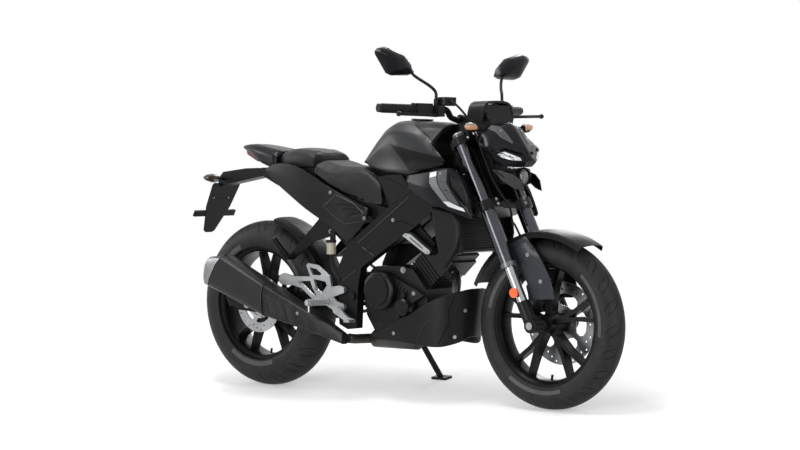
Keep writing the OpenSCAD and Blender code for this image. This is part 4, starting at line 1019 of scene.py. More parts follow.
@dataclass
class Tyre:
    """A road tyre with slanted grooves, drawn about its own axle.

    Places across the tread are angles round the section, from the tread's middle, in degrees, and each pitch
    of the tread has a number of equal parts, of which a groove takes one.
    """

    node: str
    body: Body
    axle: Vector
    radius: float
    width: float
    roundness: float
    pitches: int
    seat_radius: float = 216.1
    parts_per_pitch: int = 24
    across: int = 48
    groove_depth: float = 2.6
    long_groove: tuple[float, float] = (6.0, 62.0)
    short_groove: tuple[float, float] = (30.0, 72.0)
    short_step: int = 9
    groove_edge: float = 0.6
    slant: float = 0.3
    bend: float = 0.055
    bars: tuple[tuple[float, float], ...] = ((20.0, 75.0), (140.0, 195.0), (260.0, 315.0))
    bar_band: tuple[float, float] = (92.0, 106.0)
    bar_height: float = 0.5

    def build(self) -> bpy.types.Object:
        """Make the tyre in place of its node.

        Returns:
            The tyre.
        """
        shape = self._carcass()
        self._cut_grooves(shape)
        self._raise_bars(shape)
        self._slant(shape)
        bmesh.ops.recalc_face_normals(shape, faces=shape.faces)
        bmesh.ops.translate(shape, verts=shape.verts, vec=self.axle)
        tyre = place(self.node + "_tread", shape, self.body, [TYRE_RUBBER, TYRE_PALE], smooth_deg=38.0)
        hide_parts(self.node)
        return tyre

    def _half_height(self) -> float:
        """Half height of the section's oval."""
        return self.roundness * (self.radius - self.seat_radius)

    def _carcass(self) -> bmesh.types.BMesh:
        """Spin the closed section round the axle.

        Returns:
            The bmesh, axle at the origin.
        """
        shape = bmesh.new()
        tall = self._half_height()
        cut = math.acos(1.0 - 1.0 / self.roundness)
        turns = [cut * (2.0 * k / self.across - 1.0) for k in range(self.across + 1)]
        verts = [
            shape.verts.new((self.radius - tall + tall * math.cos(t), self.width / 2 * math.sin(t), 0.0))
            for t in turns
        ]
        edges = [shape.edges.new((a, b)) for a, b in zip(verts, verts[1:] + verts[:1])]
        bmesh.ops.spin(
            shape,
            geom=verts + edges,
            axis=(0, 1, 0),
            cent=(0, 0, 0),
            angle=2 * math.pi,
            steps=self.pitches * self.parts_per_pitch,
            use_merge=True,
        )
        bmesh.ops.recalc_face_normals(shape, faces=shape.faces)
        return shape

    def _section_turn(self, point: Vector) -> float:
        """Angle of a point round the section, from the tread's middle, in degrees."""
        tall = self._half_height()
        out = (math.hypot(point.x, point.z) - self.radius + tall) / tall
        return math.degrees(math.atan2(2.0 * point.y / self.width, out))

    def _wheel_turn(self, point: Vector) -> float:
        """Angle of a point round the axle, in degrees from 0 to 360."""
        return math.degrees(math.atan2(point.z, point.x)) % 360.0

    def _cut_grooves(self, shape: bmesh.types.BMesh) -> None:
        """Sink slanted grooves into the tread, left and right in turn.

        Args:
            shape: The carcass.
        """
        pitch = 360.0 / self.pitches
        part = pitch / self.parts_per_pitch
        grooves = []
        for face in shape.faces:
            middle = face.calc_center_median()
            turn = self._section_turn(middle)
            out = abs(turn)
            step = int((self._wheel_turn(middle) % pitch) / part)
            side = 0 if turn > 0 else self.parts_per_pitch // 2
            local = (step + side) % self.parts_per_pitch
            in_long = local == 0 and self.long_groove[0] < out < self.long_groove[1]
            in_short = local == self.short_step and self.short_groove[0] < out < self.short_groove[1]
            if in_long or in_short:
                grooves.append(face)
        bmesh.ops.inset_region(
            shape,
            faces=grooves,
            thickness=self.groove_edge,
            depth=-self.groove_depth,
            use_even_offset=True,
            use_boundary=True,
        )

    def _raise_bars(self, shape: bmesh.types.BMesh) -> None:
        """Raise plain bars on the sidewalls.

        Args:
            shape: The carcass.
        """
        bars = []
        for face in shape.faces:
            middle = face.calc_center_median()
            turn = abs(self._section_turn(middle))
            wheel = self._wheel_turn(middle)
            if self.bar_band[0] < turn < self.bar_band[1] and any(a < wheel < b for a, b in self.bars):
                face.material_index = 1
                bars.append(face)
        bmesh.ops.inset_region(
            shape,
            faces=bars,
            thickness=self.bar_height,
            depth=self.bar_height,
            use_even_offset=True,
            use_boundary=True,
        )

    def _slant(self, shape: bmesh.types.BMesh) -> None:
        """Turn each ring of the tread about the axle, so that the grooves slant in a drawn-out S.

        Args:
            shape: The carcass with its grooves.
        """
        for vert in shape.verts:
            turn = math.radians(min(abs(self._section_turn(vert.co)), 90.0))
            sweep = self.slant * turn + self.bend * math.sin(4.0 * turn)
            vert.co = Matrix.Rotation(sweep, 3, "Y") @ vert.co


TYRES = [
    Tyre("front_tyre", Body.FRONT_WHEEL, FRONT_AXLE, radius=296.0, width=104.0, roundness=0.65, pitches=22),
    Tyre("rear_tyre", Body.REAR_WHEEL, REAR_AXLE, radius=314.0, width=142.0, roundness=0.725, pitches=20),
]

SIDE_START = 900.0
TOP_START = 2000.0
END_START = 1800.0


class View(Enum):
    """The way along which a flat outline is laid onto a surface."""

    SIDE = "side"
    TOP = "top"
    FRONT = "front"
    REAR = "rear"

    def start(self, spot: Spot, side: int) -> Vector:
        """Give the point, well clear of the machine, that a spot is seen from.

        Args:
            spot: Its two numbers: x and z from the side, x and y from the top, y and z from front or rear.
            side: 1 for the left half, -1 for the right.

        Returns:
            The point in upright millimetres.
        """
        a, b = spot
        starts = {
            View.SIDE: (a, side * SIDE_START, b),
            View.TOP: (a, side * b, TOP_START),
            View.FRONT: (END_START, side * a, b),
            View.REAR: (-END_START, side * a, b),
        }
        return Vector(starts[self])

    def way(self, side: int) -> Vector:
        """Give the direction of sight.

        Args:
            side: 1 for the left half, -1 for the right.

        Returns:
            A unit vector in the upright frame.
        """
        ways = {
            View.SIDE: (0.0, -side, 0.0),
            View.TOP: (0.0, 0.0, -1.0),
            View.FRONT: (-1.0, 0.0, 0.0),
            View.REAR: (1.0, 0.0, 0.0),
        }
        return Vector(ways[self])


class Skin:
    """The shown surface of a piece, on which trim is laid."""

    def __init__(self, piece: bpy.types.Object) -> None:
        """Read the surface.

        Args:
            piece: A finished piece or a dressed CAD node.
        """
        self._tree = BVHTree.FromObject(piece, bpy.context.evaluated_depsgraph_get())
        self._upright = PARKED.inverted()

    def land(self, view: View, spot: Spot, side: int) -> tuple[Vector, Vector] | None:
        """Find where a line of sight meets the surface.

        Args:
            view: The way it is seen.
            spot: The spot's two numbers.
            side: 1 for the left half, -1 for the right.

        Returns:
            The point and the surface's direction there, upright, or None where it misses.
        """
        start = PARKED @ view.start(spot, side)
        way = (PARKED.to_3x3() @ view.way(side)).normalized()
        point, normal, _, _ = self._tree.ray_cast(start, way)
        if point is None:
            return None
        outward = (self._upright.to_3x3() @ normal).normalized()
        if outward.dot(view.way(side)) > 0:
            outward.negate()
        return self._upright @ point, outward


def tube(points: list[Vector], radius: float) -> bmesh.types.BMesh:
    """Make a round tube that runs smoothly through points.

    Args:
        points: Its middle line.
        radius: Its radius.

    Returns:
        The bmesh, in the points' frame.
    """
    curve = bpy.data.curves.new("tube_line", "CURVE")
    curve.dimensions = "3D"
    curve.bevel_depth = radius
    curve.bevel_resolution = 3
    curve.resolution_u = 6
    curve.use_fill_caps = True
    spline = curve.splines.new("BEZIER")
    spline.bezier_points.add(len(points) - 1)
    for knot, point in zip(spline.bezier_points, points):
        knot.co = point
        knot.handle_left_type = "AUTO"
        knot.handle_right_type = "AUTO"
    line = bpy.data.objects.new("tube_line", curve)
    mesh = bpy.data.meshes.new_from_object(line)
    shape = bmesh.new()
    shape.from_mesh(mesh)
    bmesh.ops.remove_doubles(shape, verts=shape.verts, dist=TUBE_WELD_MM)
    bmesh.ops.recalc_face_normals(shape, faces=shape.faces)
    bpy.data.objects.remove(line)
    bpy.data.curves.remove(curve)
    bpy.data.meshes.remove(mesh)
    return shape


@dataclass(frozen=True)
class Decal:
    """A thin plate laid onto a surface, from a convex outline seen along one way.

    With a stand it lies flat at that distance from the machine's middle plane, or at that x when it is seen
    from the front, and slope turns it.
    """

    name: str
    target: str
    finish: Finish
    outline: tuple[Spot, ...]
    view: View = View.SIDE
    body: Body = Body.CHASSIS
    lift: float = -0.8
    thick: float = 1.8
    cell: float = 7.0
    edge: float = 0.5
    edge_from_deg: float = 50.0
    sides: tuple[int, ...] = (1, -1)
    stand: float = 0.0
    slope: float = 0.0

    def build(self, skin: Skin) -> dict[str, bpy.types.Object]:
        """Make one plate on each side.

        Args:
            skin: The target's surface.

        Returns:
            The plates by name.
        """
        pieces = {}
        for side in self.sides:
            shape = self._flat()
            if self.stand:
                self._raise(shape, side)
            else:
                self._drape(shape, skin, side)
            self._thicken(shape, side)
            name = f"{self.name}_{'left' if side > 0 else 'right'}"
            pieces[name] = place(name, shape, self.body, [self.finish])
            add_modifier(
                pieces[name],
                "BEVEL",
                width=self.edge * MM,
                segments=2,
                limit_method="ANGLE",
                angle_limit=math.radians(self.edge_from_deg),
            )
        return pieces

    def _raise(self, shape: bmesh.types.BMesh, side: int) -> None:
        """Stand the flat outline at its own distance, with no surface under it.

        Args:
            shape: The flat outline.
            side: 1 for the left half, -1 for the right.
        """
        first = self.outline[0][0]
        for vert in shape.verts:
            far = self.stand + self.slope * (vert.co.x - first)
            if self.view is View.SIDE:
                vert.co = Vector((vert.co.x, side * far, vert.co.y))
            else:
                vert.co = Vector((far, side * vert.co.x, vert.co.y))

    def _flat(self) -> bmesh.types.BMesh:
        """Make the outline as a grid cut along its edges.

        Returns:
            The bmesh, flat at a height of zero.
        """
        spots = [Vector(s) for s in self.outline]
        area = sum(p.x * q.y - q.x * p.y for p, q in zip(spots, spots[1:] + spots[:1]))
        if area < 0:
            spots.reverse()
        low = Vector((min(s.x for s in spots), min(s.y for s in spots)))
        size = Vector((max(s.x for s in spots), max(s.y for s in spots))) - low
        shape = bmesh.new()
        bmesh.ops.create_grid(
            shape,
            x_segments=max(2, math.ceil(size.x / self.cell)),
            y_segments=max(2, math.ceil(size.y / self.cell)),
            size=0.5,
        )
        bmesh.ops.scale(shape, vec=(size.x, size.y, 1.0), verts=shape.verts)
        bmesh.ops.translate(shape, vec=(low.x + size.x / 2, low.y + size.y / 2, 0.0), verts=shape.verts)
        for p, q in zip(spots, spots[1:] + spots[:1]):
            run = q - p
            bmesh.ops.bisect_plane(
                shape,
                geom=shape.verts[:] + shape.edges[:] + shape.faces[:],
                plane_co=(p.x, p.y, 0.0),
                plane_no=(run.y, -run.x, 0.0),
                clear_outer=True,
            )
        return shape

    def _drape(self, shape: bmesh.types.BMesh, skin: Skin, side: int) -> None:
        """Lay the flat outline onto the surface, without the spots that miss it.

        Args:
            shape: The flat outline.
            skin: The target's surface.
            side: 1 for the left half, -1 for the right.
        """
        missed = []
        for vert in shape.verts:
            found = skin.land(self.view, (vert.co.x, vert.co.y), side)
            if found is None:
                missed.append(vert)
            else:
                vert.co = found[0] - self.lift * self.view.way(side)
        bmesh.ops.delete(shape, geom=missed, context="VERTS")

    def _thicken(self, shape: bmesh.types.BMesh, side: int) -> None:
        """Raise the draped outline to its thickness.

        Args:
            shape: The draped outline.
            side: 1 for the left half, -1 for the right.
        """
        raised = bmesh.ops.extrude_face_region(shape, geom=shape.faces[:])["geom"]
        tops = [item for item in raised if isinstance(item, bmesh.types.BMVert)]
        bmesh.ops.translate(shape, verts=tops, vec=-self.thick * self.view.way(side))
        bmesh.ops.recalc_face_normals(shape, faces=shape.faces)


@dataclass(frozen=True)
class Seam:
    """A line along a surface: a parting line, a stitched seam or a raised bead."""

    target: str
    finish: Finish
    path: tuple[Spot, ...]
    radius: float = 0.9
    view: View = View.SIDE
    body: Body = Body.CHASSIS
    sides: tuple[int, ...] = (1, -1)

    def lines(self, skin: Skin) -> list[list[Vector]]:
        """Lay the path onto the surface, once for each side.

        Args:
            skin: The target's surface.

        Returns:
            The middle lines, upright.
        """
        lines = []
        for side in self.sides:
            line = []
            for spot in self._spots():
                found = skin.land(self.view, spot, side)
                if found is not None:
                    line.append(found[0])
            if len(line) > 1:
                lines.append(line)
        return lines

    def _spots(self, step: float = 9.0) -> list[Spot]:
        """Divide the path into short steps.

        Args:
            step: Their length in millimetres.

        Returns:
            The spots in order.
        """
        spots = [self.path[0]]
        for p, q in zip(self.path, self.path[1:]):
            parts = max(1, round(math.dist(p, q) / step))
            for k in range(1, parts + 1):
                spots.append((p[0] + (q[0] - p[0]) * k / parts, p[1] + (q[1] - p[1]) * k / parts))
        return spots


@dataclass(frozen=True)
class BoltRow:
    """Socket-head bolts of one size, set square into a surface."""

    target: str
    spots: tuple[Spot, ...]
    radius: float
    sides: tuple[int, ...] = (1, -1)
    finish: Finish = PLATED_STEEL
    view: View = View.SIDE
    body: Body = Body.CHASSIS

    def frames(self, skin: Skin) -> list[Matrix]:
        """Find the place of each bolt.

        Args:
            skin: The target's surface.

        Returns:
            Matrices from a bolt of unit radius to its place, upright.
        """
        frames = []
        for side in self.sides:
            for spot in self.spots:
                found = skin.land(self.view, spot, side)
                if found is None:
                    LOG.warning("bolt at %s misses %s", spot, self.target)
                    continue
                point, normal = found
                turn = normal.to_track_quat("Z", "Y").to_matrix().to_4x4()
                frames.append(Matrix.Translation(point) @ turn @ Matrix.Scale(self.radius, 4))
        return frames


def bolt_head() -> bmesh.types.BMesh:
    """Make a bolt head of unit radius on a washer, with a sunk eighteen-sided socket, standing on z = 0.

    Returns:
        The bmesh.
    """
    washer = {"segments": 20, "radius1": 1.35, "radius2": 1.25, "depth": 0.34}
    head = {"segments": 18, "radius1": 1.0, "radius2": 0.8, "depth": 0.62}
    rim, socket_edge, socket_depth = 0.3, 0.04, 0.4
    shape = bmesh.new()
    for cone, middle in ((washer, -0.05), (head, 0.4)):
        lay = Matrix.Translation((0.0, 0.0, middle))
        bmesh.ops.create_cone(shape, cap_ends=True, matrix=lay, **cone)
    shape.faces.ensure_lookup_table()
    top = max(shape.faces, key=lambda face: face.calc_center_median().z)
    bmesh.ops.inset_individual(shape, faces=[top], thickness=rim, depth=0.0)
    bmesh.ops.inset_individual(shape, faces=[top], thickness=socket_edge, depth=-socket_depth)
    bmesh.ops.recalc_face_normals(shape, faces=shape.faces)
    return shape


@dataclass(frozen=True)
class Hose:
    """A hose, cable or stem along points in the upright frame."""

    name: str
    body: Body
    finish: Finish
    radius: float
    points: tuple[Point, ...]

    def build(self) -> None:
        """Make the hose."""
        place(self.name, tube([Vector(p) for p in self.points], self.radius), self.body, [self.finish])


@dataclass
class Trim:
    """Everything that is laid onto finished surfaces."""

    surfaces: dict[str, bpy.types.Object]
    skins: dict[str, Skin] = field(default_factory=dict)

    def build(self) -> None:
        """Make plates, seams, bolts and hoses."""
        for decal in DECALS:
            self.surfaces.update(decal.build(self._skin(decal.target)))
        self._seams()
        self._bolts()
        for hose in HOSES:
            hose.build()

    def _skin(self, target: str) -> Skin:
        """Return a piece's surface, read on its first use.

        Args:
            target: The CAD node's name, which also stands for the piece that replaces it.

        Returns:
            The surface.
        """
        if target not in self.skins:
            self.skins[target] = Skin(self.surfaces[target])
        return self.skins[target]

    def _seams(self) -> None:
        """Make all seams, joined by body and finish."""
        groups: dict[tuple[Body, Finish], bmesh.types.BMesh] = {}
        for seam in SEAMS:
            shape = groups.setdefault((seam.body, seam.finish), bmesh.new())
            for line in seam.lines(self._skin(seam.target)):
                self._append(shape, tube(line, seam.radius))
        for (body, finish), shape in groups.items():
            place(f"{body.value}_lines_{finish.name}", shape, body, [finish])

    def _bolts(self) -> None:
        """Make all bolts, joined by body and finish."""
        groups: dict[tuple[Body, Finish], bmesh.types.BMesh] = {}
        for row in BOLTS:
            shape = groups.setdefault((row.body, row.finish), bmesh.new())
            for frame in row.frames(self._skin(row.target)):
                head = bolt_head()
                head.transform(frame)
                self._append(shape, head)
        for (body, finish), shape in groups.items():
            place(f"{body.value}_bolts_{finish.name}", shape, body, [finish], smooth_deg=30.0)

    @staticmethod
    def _append(shape: bmesh.types.BMesh, extra: bmesh.types.BMesh) -> None:
        """Add one bmesh to another and free it.

        Args:
            shape: The bmesh that grows.
            extra: The bmesh that is added.
        """
        mesh = bpy.data.meshes.new("joined")
        extra.to_mesh(mesh)
        extra.free()
        shape.from_mesh(mesh)
        bpy.data.meshes.remove(mesh)


def around(axle: Vector, radius: float, angle_deg: float) -> Spot:
    """Give the x and z of a spot on a circle about an axle, at an angle from straight ahead."""
    angle = math.radians(angle_deg)
    return axle.x + radius * math.cos(angle), axle.z + radius * math.sin(angle)


def scoop_plate(name: str, finish: Finish, *outline: Spot, thick: float = 1.4) -> Decal:
    """Describe a plate on the sides of the tank scoops."""
    return Decal(f"scoop_{name}", "tank_scoops", finish, outline, thick=thick)


DECALS = [
    Decal(
        "nose_plate", "nose_cowl", PLATE_GREY,
        ((449, 60), (486, 50), (523, 34), (525, 46), (497, 77), (450, 87)),
        View.TOP, Body.STEERING, lift=-1.0, thick=3.4, edge=0.8,
    ),
    Decal(
        "slit_lens", "nose_cowl", SLIT_LENS,
        ((112, 886), (96, 890), (46, 869), (45, 859), (70, 861), (95, 868)),
        View.FRONT, Body.STEERING, lift=-1.0, thick=3.0, edge=0.8, cell=5.0,
    ),
    scoop_plate("block", FOIL_SILVER, (263, 817), (295, 822), (298, 805), (266, 799)),
    scoop_plate("band_top", BAND_GREY, (266, 798), (298, 804), (305, 785), (270, 782)),
    scoop_plate("band", BAND_GREY, (270, 782), (305, 785), (360, 719), (334, 718)),
    scoop_plate("toe", FOIL_SILVER, (335, 717), (360, 718), (428, 695), (438, 683), (360, 700)),
    scoop_plate("cheek_top", PLATE_GREY, (300, 823), (342, 830), (349, 783), (308, 788), thick=1.1),
    scoop_plate("cheek", PLATE_GREY, (308, 787), (349, 782), (412, 706), (364, 718), thick=1.1),
    Decal(
        "scoop_mesh", "tank_scoops", INLET_MESH,
        ((358, 810), (383, 791), (420, 752), (436, 708), (414, 724), (366, 772)), lift=-0.4, thick=1.6,
    ),
    Decal(
        "spar_bracket", "frame", POWDER_BLACK,
        ((104, 600), (150, 606), (246, 544), (226, 524), (206, 528)), stand=96.0, thick=45.0, edge=1.5,
    ),
    Decal(
        "spar_plate", "frame", SILVER_CASTING,
        ((112, 592), (124, 601), (148, 598), (238, 540), (234, 530), (218, 530)),
        stand=140.5, thick=3.5, edge=1.0,
    ),
    Decal(
        "engine_cover", "engine", PAINTED_CASTING,
        ((40, 428), (70, 430), (150, 400), (186, 380), (130, 349), (112, 362)),
        stand=92.0, thick=24.0, edge=3.0, sides=(-1,),
    ),
    Decal(
        "chin_wing", "headlamp", LAMP_BLACK,
        ((472, 828), (500, 826), (545, 812), (572, 790), (582, 754), (545, 764), (505, 790)),
        body=Body.STEERING, stand=84.0, slope=-0.34, thick=5.0, edge=1.2,
    ),
    Decal(
        "nose_spine", "nose_cowl", MIDNIGHT, ((452, -25), (566, -8), (566, 8), (452, 25)),
        View.TOP, Body.STEERING, lift=-1.5, thick=5.0, edge=1.6, sides=(1,),
    ),
    Decal(
        "brow_rear", "nose_cowl", MIDNIGHT, ((120, 906), (89, 912), (89, 902), (120, 896)),
        View.FRONT, Body.STEERING, lift=-2.0, thick=9.0, edge=1.4,
    ),
    Decal(
        "brow_front", "nose_cowl", MIDNIGHT, ((89, 912), (28, 891), (28, 882), (89, 902)),
        View.FRONT, Body.STEERING, lift=-2.0, thick=9.0, edge=1.4,
    ),
    Decal(
        "meter_back", "meter", NYLON,
        (
            (-82, 1004), (82, 1004), (80, 1022), (74, 1040), (64, 1050), (49, 1057), (-49, 1057), (-64, 1050),
            (-74, 1040), (-80, 1022),
        ),
        View.FRONT, Body.STEERING, stand=378.0, thick=4.0, sides=(1,), cell=30.0,
    ),
    Decal(
        "pan_dimple_top", "belly_pan", MIDNIGHT,
        ((308, 333), (314, 342), (330, 344), (338, 338), (334, 328), (316, 324)), lift=-1.0, thick=1.3,
    ),
    Decal(
        "pan_dimple_low", "belly_pan", MIDNIGHT,
        ((280, 236), (286, 244), (302, 245), (308, 238), (303, 228), (286, 227)), lift=-1.0, thick=1.3,
    ),
    Decal(
        "meter_screen", "meter", SMOKED_LENS, ((-58, 1004), (58, 1004), (58, 1036), (-58, 1036)),
        View.REAR, Body.STEERING, lift=-0.5, thick=1.5, sides=(1,), cell=20.0,
    ),
    Decal(
        "stop_switch", "switchgear", RED_SWITCH, ((217, 1026), (231, 1026), (231, 1042), (217, 1042)),
        View.REAR, Body.STEERING, lift=-0.5, thick=6.0, sides=(-1,), edge=1.2,
    ),
]


def shield_ribs(count: int = 46) -> list[tuple[Spot, Spot]]:
    """Slanted ribs across the muffler's heat shield, seen from the side.

    Args:
        count: How many there are.

    Returns:
        The two ends of each rib.
    """
    first, run = (-478, 342), (318, -134)
    first_reach, reach_change = 84, -62
    slant = 0.35
    ribs = []
    for k in range(count):
        share = k / (count - 1)
        x, z = first[0] + run[0] * share, first[1] + run[1] * share
        reach = first_reach + reach_change * share
        ribs.append(((x - slant * reach, z + reach), (x + slant * reach, z - reach)))
    return ribs


def ring(axle: Vector, radius: float, first_deg: float = 0.0, count: int = 5) -> tuple[Spot, ...]:
    """Give evenly spaced spots on a circle about an axle."""
    return tuple(around(axle, radius, first_deg + 360 / count * k) for k in range(count))


def valve(axle: Vector) -> tuple[Point, ...]:
    """Give the middle line of the tyre valve below an axle, from the rim inwards."""
    rim_drop, step_up, step_out = 200, 12, 3
    return tuple((axle.x, step_out * k, axle.z - rim_drop + step_up * k) for k in range(3))


# Seams in the pale bead finish are painted highlight lines: the shield's ribs and the lines on the belly pan,
# the frame and the tail covers
SEAMS = [
    *(Seam("muffler_shield", HIGHLIGHT_BEAD, rib, sides=(-1,)) for rib in shield_ribs()),
    Seam("fuel_tank", GAP_BLACK, ((124, 983), (161, 968), (206, 944), (233, 921), (252, 886))),
    Seam("knee_panels", GAP_BLACK, ((22, 798), (58, 790), (98, 774), (120, 752)), 0.8),
    Seam("knee_panels", GAP_BLACK, ((8, 780), (20, 750), (50, 708)), 0.8),
    Seam(
        "pillion_seat", THREAD,
        ((-520, 0), (-516, 40), (-480, 62), (-420, 72), (-376, 66), (-358, 40), (-354, 0)), 1.3, View.TOP,
    ),
    Seam("seat", THREAD, ((-325, 84), (-250, 100), (-160, 102), (-70, 84), (-12, 56)), 1.3, View.TOP),
    Seam("tail_cowl", GAP_BLACK, ((-560, 66), (-640, 50), (-720, 26)), view=View.TOP),
    Seam("belly_pan", HIGHLIGHT_BEAD, ((254, 345), (216, 300), (176, 251), (160, 212)), 1.6),
    Seam("belly_pan", GAP_BLACK, ((306, 379), (286, 331), (285, 283), (247, 208)), 1.2),
    Seam("frame", HIGHLIGHT_BEAD, ((-98, 561), (10, 638), (138, 729)), 1.8),
    Seam("frame", HIGHLIGHT_BEAD, ((-82, 547), (-28, 517)), 1.6),
    Seam("frame", HIGHLIGHT_BEAD, ((-190, 411), (-137, 445), (-111, 461)), 1.6),
    Seam("frame", GAP_BLACK, ((54, 636), (104, 645), (163, 626)), 1.5),
    Seam(
        "tail_covers", HIGHLIGHT_BEAD,
        (
            (-269, 689), (-213, 733), (-125, 703), (-75, 668), (-70, 640), (-158, 627), (-224, 658),
            (-268, 688),
        ),
        1.8,
    ),
    Seam("spar_plate_right", GAP_BLACK, ((146, 586), (205, 549)), 1.6, sides=(-1,)),
    Seam("spar_plate_left", GAP_BLACK, ((146, 586), (205, 549)), 1.6, sides=(1,)),
]

BOLTS = [
    BoltRow("nose_cowl", ((457, 70), (486, 62)), 4.6, view=View.TOP, body=Body.STEERING),
    BoltRow("fork_clamps", ((78, 727), (78, 711)), 5.4, view=View.FRONT, body=Body.STEERING),
    BoltRow("fork_clamps", ((104, 940),), 5.0, view=View.FRONT, body=Body.STEERING),
    BoltRow("front_fender", ((612, 536), (668, 446)), 5.4, body=Body.STEERING),
    BoltRow("front_caliper", ((546, 352), (566, 414)), 6.0, (1,), body=Body.STEERING),
    BoltRow("tail_covers", ((-241, 741), (-66, 650)), 5.6),
    BoltRow("frame", ((65, 646),), 5.6),
    BoltRow("spar_plate_right", ((128, 594), (226, 537)), 3.6, (-1,)),
    BoltRow("spar_plate_left", ((128, 594), (226, 537)), 3.6, (1,)),
    BoltRow("engine_cover_right", ((140, 386),), 6.0, (-1,)),
    BoltRow("frame", ((-50, 539),), 7.5, finish=BLACK_BOLT),
    BoltRow("pillion_footrests", ((-252, 598),), 6.4),
    BoltRow("footrests", ((-369, 410), (-289, 389), (-221, 350)), 6.0),
    BoltRow("engine", ((74, 466),), 9.0, finish=SILVER_CASTING),
    BoltRow(
        "clutch_cover",
        ((76, 306), (134, 330), (100, 378), (-37, 452), (-76, 330), (30, 446)), 5.0, (-1,), BLACK_BOLT,
    ),
    BoltRow(
        "generator_cover", ((-76, 330), (30, 438), (76, 306), (134, 330), (100, 378)), 5.0, (1,), BLACK_BOLT
    ),
    BoltRow("belly_pan", ((55, 240), (326, 330), (296, 236)), 5.2),
    BoltRow("muffler_shield", ((-320, 300),), 5.0, (-1,)),
    BoltRow("tank_scoops", ((314, 814),), 4.0),
    BoltRow("front_disc", ring(FRONT_AXLE, 43.0), 5.0, (1,), body=Body.FRONT_WHEEL),
    BoltRow("rear_disc", ring(REAR_AXLE, 51.0), 5.0, (-1,), body=Body.REAR_WHEEL),
    BoltRow("sprocket", ring(REAR_AXLE, 48.0, 36.0), 5.0, (1,), body=Body.REAR_WHEEL),
]

HOSES = [
    Hose(
        "reservoir_hose", Body.CHASSIS, GRIP_RUBBER, 5.0,
        ((-236, -132, 520), (-234, -133, 490), (-214, -140, 450), (-186, -142, 420)),
    ),
    Hose("front_valve", Body.FRONT_WHEEL, GRIP_RUBBER, 4.5, valve(FRONT_AXLE)),
    Hose("rear_valve", Body.REAR_WHEEL, GRIP_RUBBER, 4.5, valve(REAR_AXLE)),
]


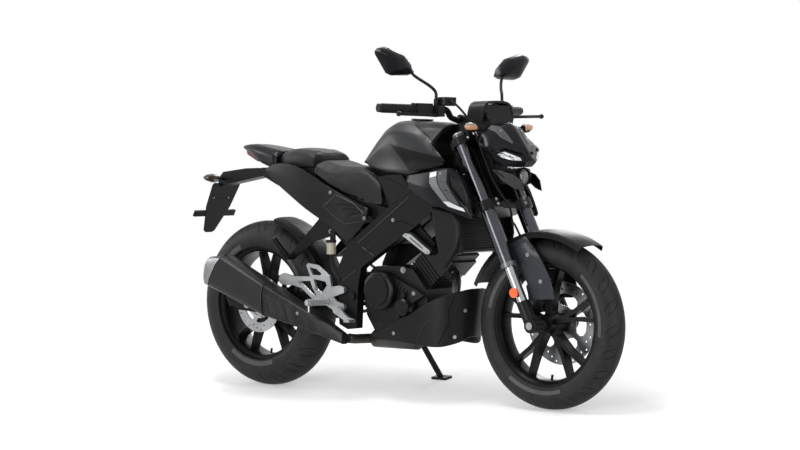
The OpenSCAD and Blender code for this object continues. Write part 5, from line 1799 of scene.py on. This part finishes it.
@dataclass
class Studio:
    """Floor, light, backdrop and camera.

    The floor fades out between two distances from the machine, and a part of it is clear everywhere, so that
    the shadow stays light.
    """

    azimuth_deg: float = 39.674
    elevation_deg: float = 2.766
    distance: float = 8202.6
    target: Vector = field(default_factory=lambda: Vector((0.0, 0.0, 500.0)))
    lens_mm: float = 101.54
    shift: tuple[float, float] = (-0.00497, 0.0426)
    sensor_mm: float = 36.0
    far_clip: float = 100.0
    fill: float = 0.5
    floor_radius: float = 6.0
    floor_fade: tuple[float, float] = (1.1, 2.2)
    floor_clear: float = 0.35
    floor_colour: str = "#f8f8f8"

    def build(self) -> None:
        """Make the whole studio."""
        self._camera()
        self._world()
        self._floor()
        self._lamps()
        bpy.context.scene.view_settings.view_transform = "Standard"

    def _camera(self) -> None:
        """Put the camera where the photograph was taken from, square to the machine."""
        a, e = math.radians(self.azimuth_deg), math.radians(self.elevation_deg)
        back = Vector((math.sin(a) * math.cos(e), -math.cos(a) * math.cos(e), math.sin(e)))
        turn = (-back).to_track_quat("-Z", "Y").to_matrix()
        eye = PARKED @ (self.target + self.distance * back)
        lean = Matrix.Rotation(-LEAN, 3, "X")
        data = bpy.data.cameras.new("photo_camera")
        data.sensor_width = self.sensor_mm
        data.lens = self.lens_mm
        data.shift_x, data.shift_y = self.shift
        data.clip_end = self.far_clip
        camera = bpy.data.objects.new("photo_camera", data)
        camera.matrix_world = Matrix.Translation(eye) @ (lean @ turn).to_4x4()
        bpy.context.scene.collection.objects.link(camera)
        bpy.context.scene.camera = camera

    def _world(self) -> None:
        """White to the camera, to reflections and through glass, and a soft fill for the rest."""
        world = bpy.data.worlds.new("studio_world")
        bpy.context.scene.world = world
        tree = empty_tree(world)
        path = add_node(tree, "ShaderNodeLightPath").outputs
        seen = combine(tree, "MAXIMUM", path["Is Camera Ray"], path["Is Transmission Ray"])
        shown = combine(tree, "MAXIMUM", seen, path["Is Glossy Ray"])
        strength = remap(tree, shown, goal=(self.fill, 1.0))
        light = add_node(tree, "ShaderNodeBackground", inputs={"Color": (1, 1, 1, 1), "Strength": strength})
        add_node(tree, "ShaderNodeOutputWorld", inputs={0: light.outputs[0]})

    def _floor(self) -> None:
        """A pale floor that fades into the backdrop away from the machine."""
        shape = bmesh.new()
        bmesh.ops.create_circle(shape, cap_ends=True, segments=96, radius=self.floor_radius)
        mesh = bpy.data.meshes.new("floor")
        shape.to_mesh(mesh)
        shape.free()
        floor = bpy.data.objects.new("floor", mesh)
        bpy.context.scene.collection.objects.link(floor)
        material = bpy.data.materials.new("pale_floor")
        tree = empty_tree(material)
        where = add_node(tree, "ShaderNodeTexCoord").outputs["Object"]
        away = add_node(tree, "ShaderNodeVectorMath", {"operation": "LENGTH"}, {0: where})
        fade = remap(
            tree, away.outputs["Value"], self.floor_fade, (self.floor_clear, 1.0), curve="SMOOTHSTEP"
        )
        paint = add_node(tree, "ShaderNodeBsdfDiffuse", inputs={"Color": linear(self.floor_colour)})
        glass = add_node(tree, "ShaderNodeBsdfTransparent")
        mix = add_node(
            tree, "ShaderNodeMixShader", inputs={0: fade, 1: paint.outputs[0], 2: glass.outputs[0]}
        )
        add_node(tree, "ShaderNodeOutputMaterial", inputs={0: mix.outputs[0]})
        mesh.materials.append(material)

    def _lamps(self) -> None:
        """A long box overhead, upright strips round the machine and a box behind it."""
        self._lamp("overhead_box", (-0.3, -0.3, 3.1), (-0.1, 0.0, 0.5), (2.2, 0.8), 80.0)
        self._lamp("right_strip", (0.0, -3.4, 1.3), (0.2, 0.0, 0.9), (1.1, 2.4), 62.0)
        self._lamp("front_strip", (4.0, -1.0, 1.5), (0.2, 0.0, 0.8), (1.1, 2.2), 52.0)
        self._lamp("left_strip", (-1.2, 3.2, 2.0), (0.0, 0.0, 0.6), (0.6, 2.2), 40.0)
        self._lamp("rear_box", (-3.4, -1.0, 1.8), (0.0, 0.0, 0.6), (0.6, 1.6), 25.0)

    def _lamp(self, name: str, at: Point, towards: Point, size: tuple[float, float], watts: float) -> None:
        """Add one area lamp.

        Args:
            name: Its name.
            at: Its place in metres.
            towards: The point it faces.
            size: Its two sides in metres.
            watts: Its power.
        """
        data = bpy.data.lights.new(name, "AREA")
        data.shape = "RECTANGLE"
        data.size, data.size_y = size
        data.energy = watts
        lamp = bpy.data.objects.new(name, data)
        lamp.location = at
        lamp.rotation_euler = (Vector(towards) - Vector(at)).to_track_quat("-Z", "Y").to_euler()
        bpy.context.scene.collection.objects.link(lamp)


def main() -> None:
    """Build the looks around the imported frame."""
    logging.basicConfig(level=logging.INFO, format="%(name)s: %(message)s")
    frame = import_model()
    Studio().build()
    nodes = frame["nodes"]
    CadDresser(nodes).dress_all()
    surfaces = dict(nodes)
    for panel in PANELS:
        surfaces[panel.node] = panel.build(nodes)
    for cushion in CUSHIONS:
        surfaces[cushion.node] = cushion.build(nodes)
    Trim(surfaces).build()
    for tyre in TYRES:
        tyre.build()


if __name__ == "__main__":
    main()
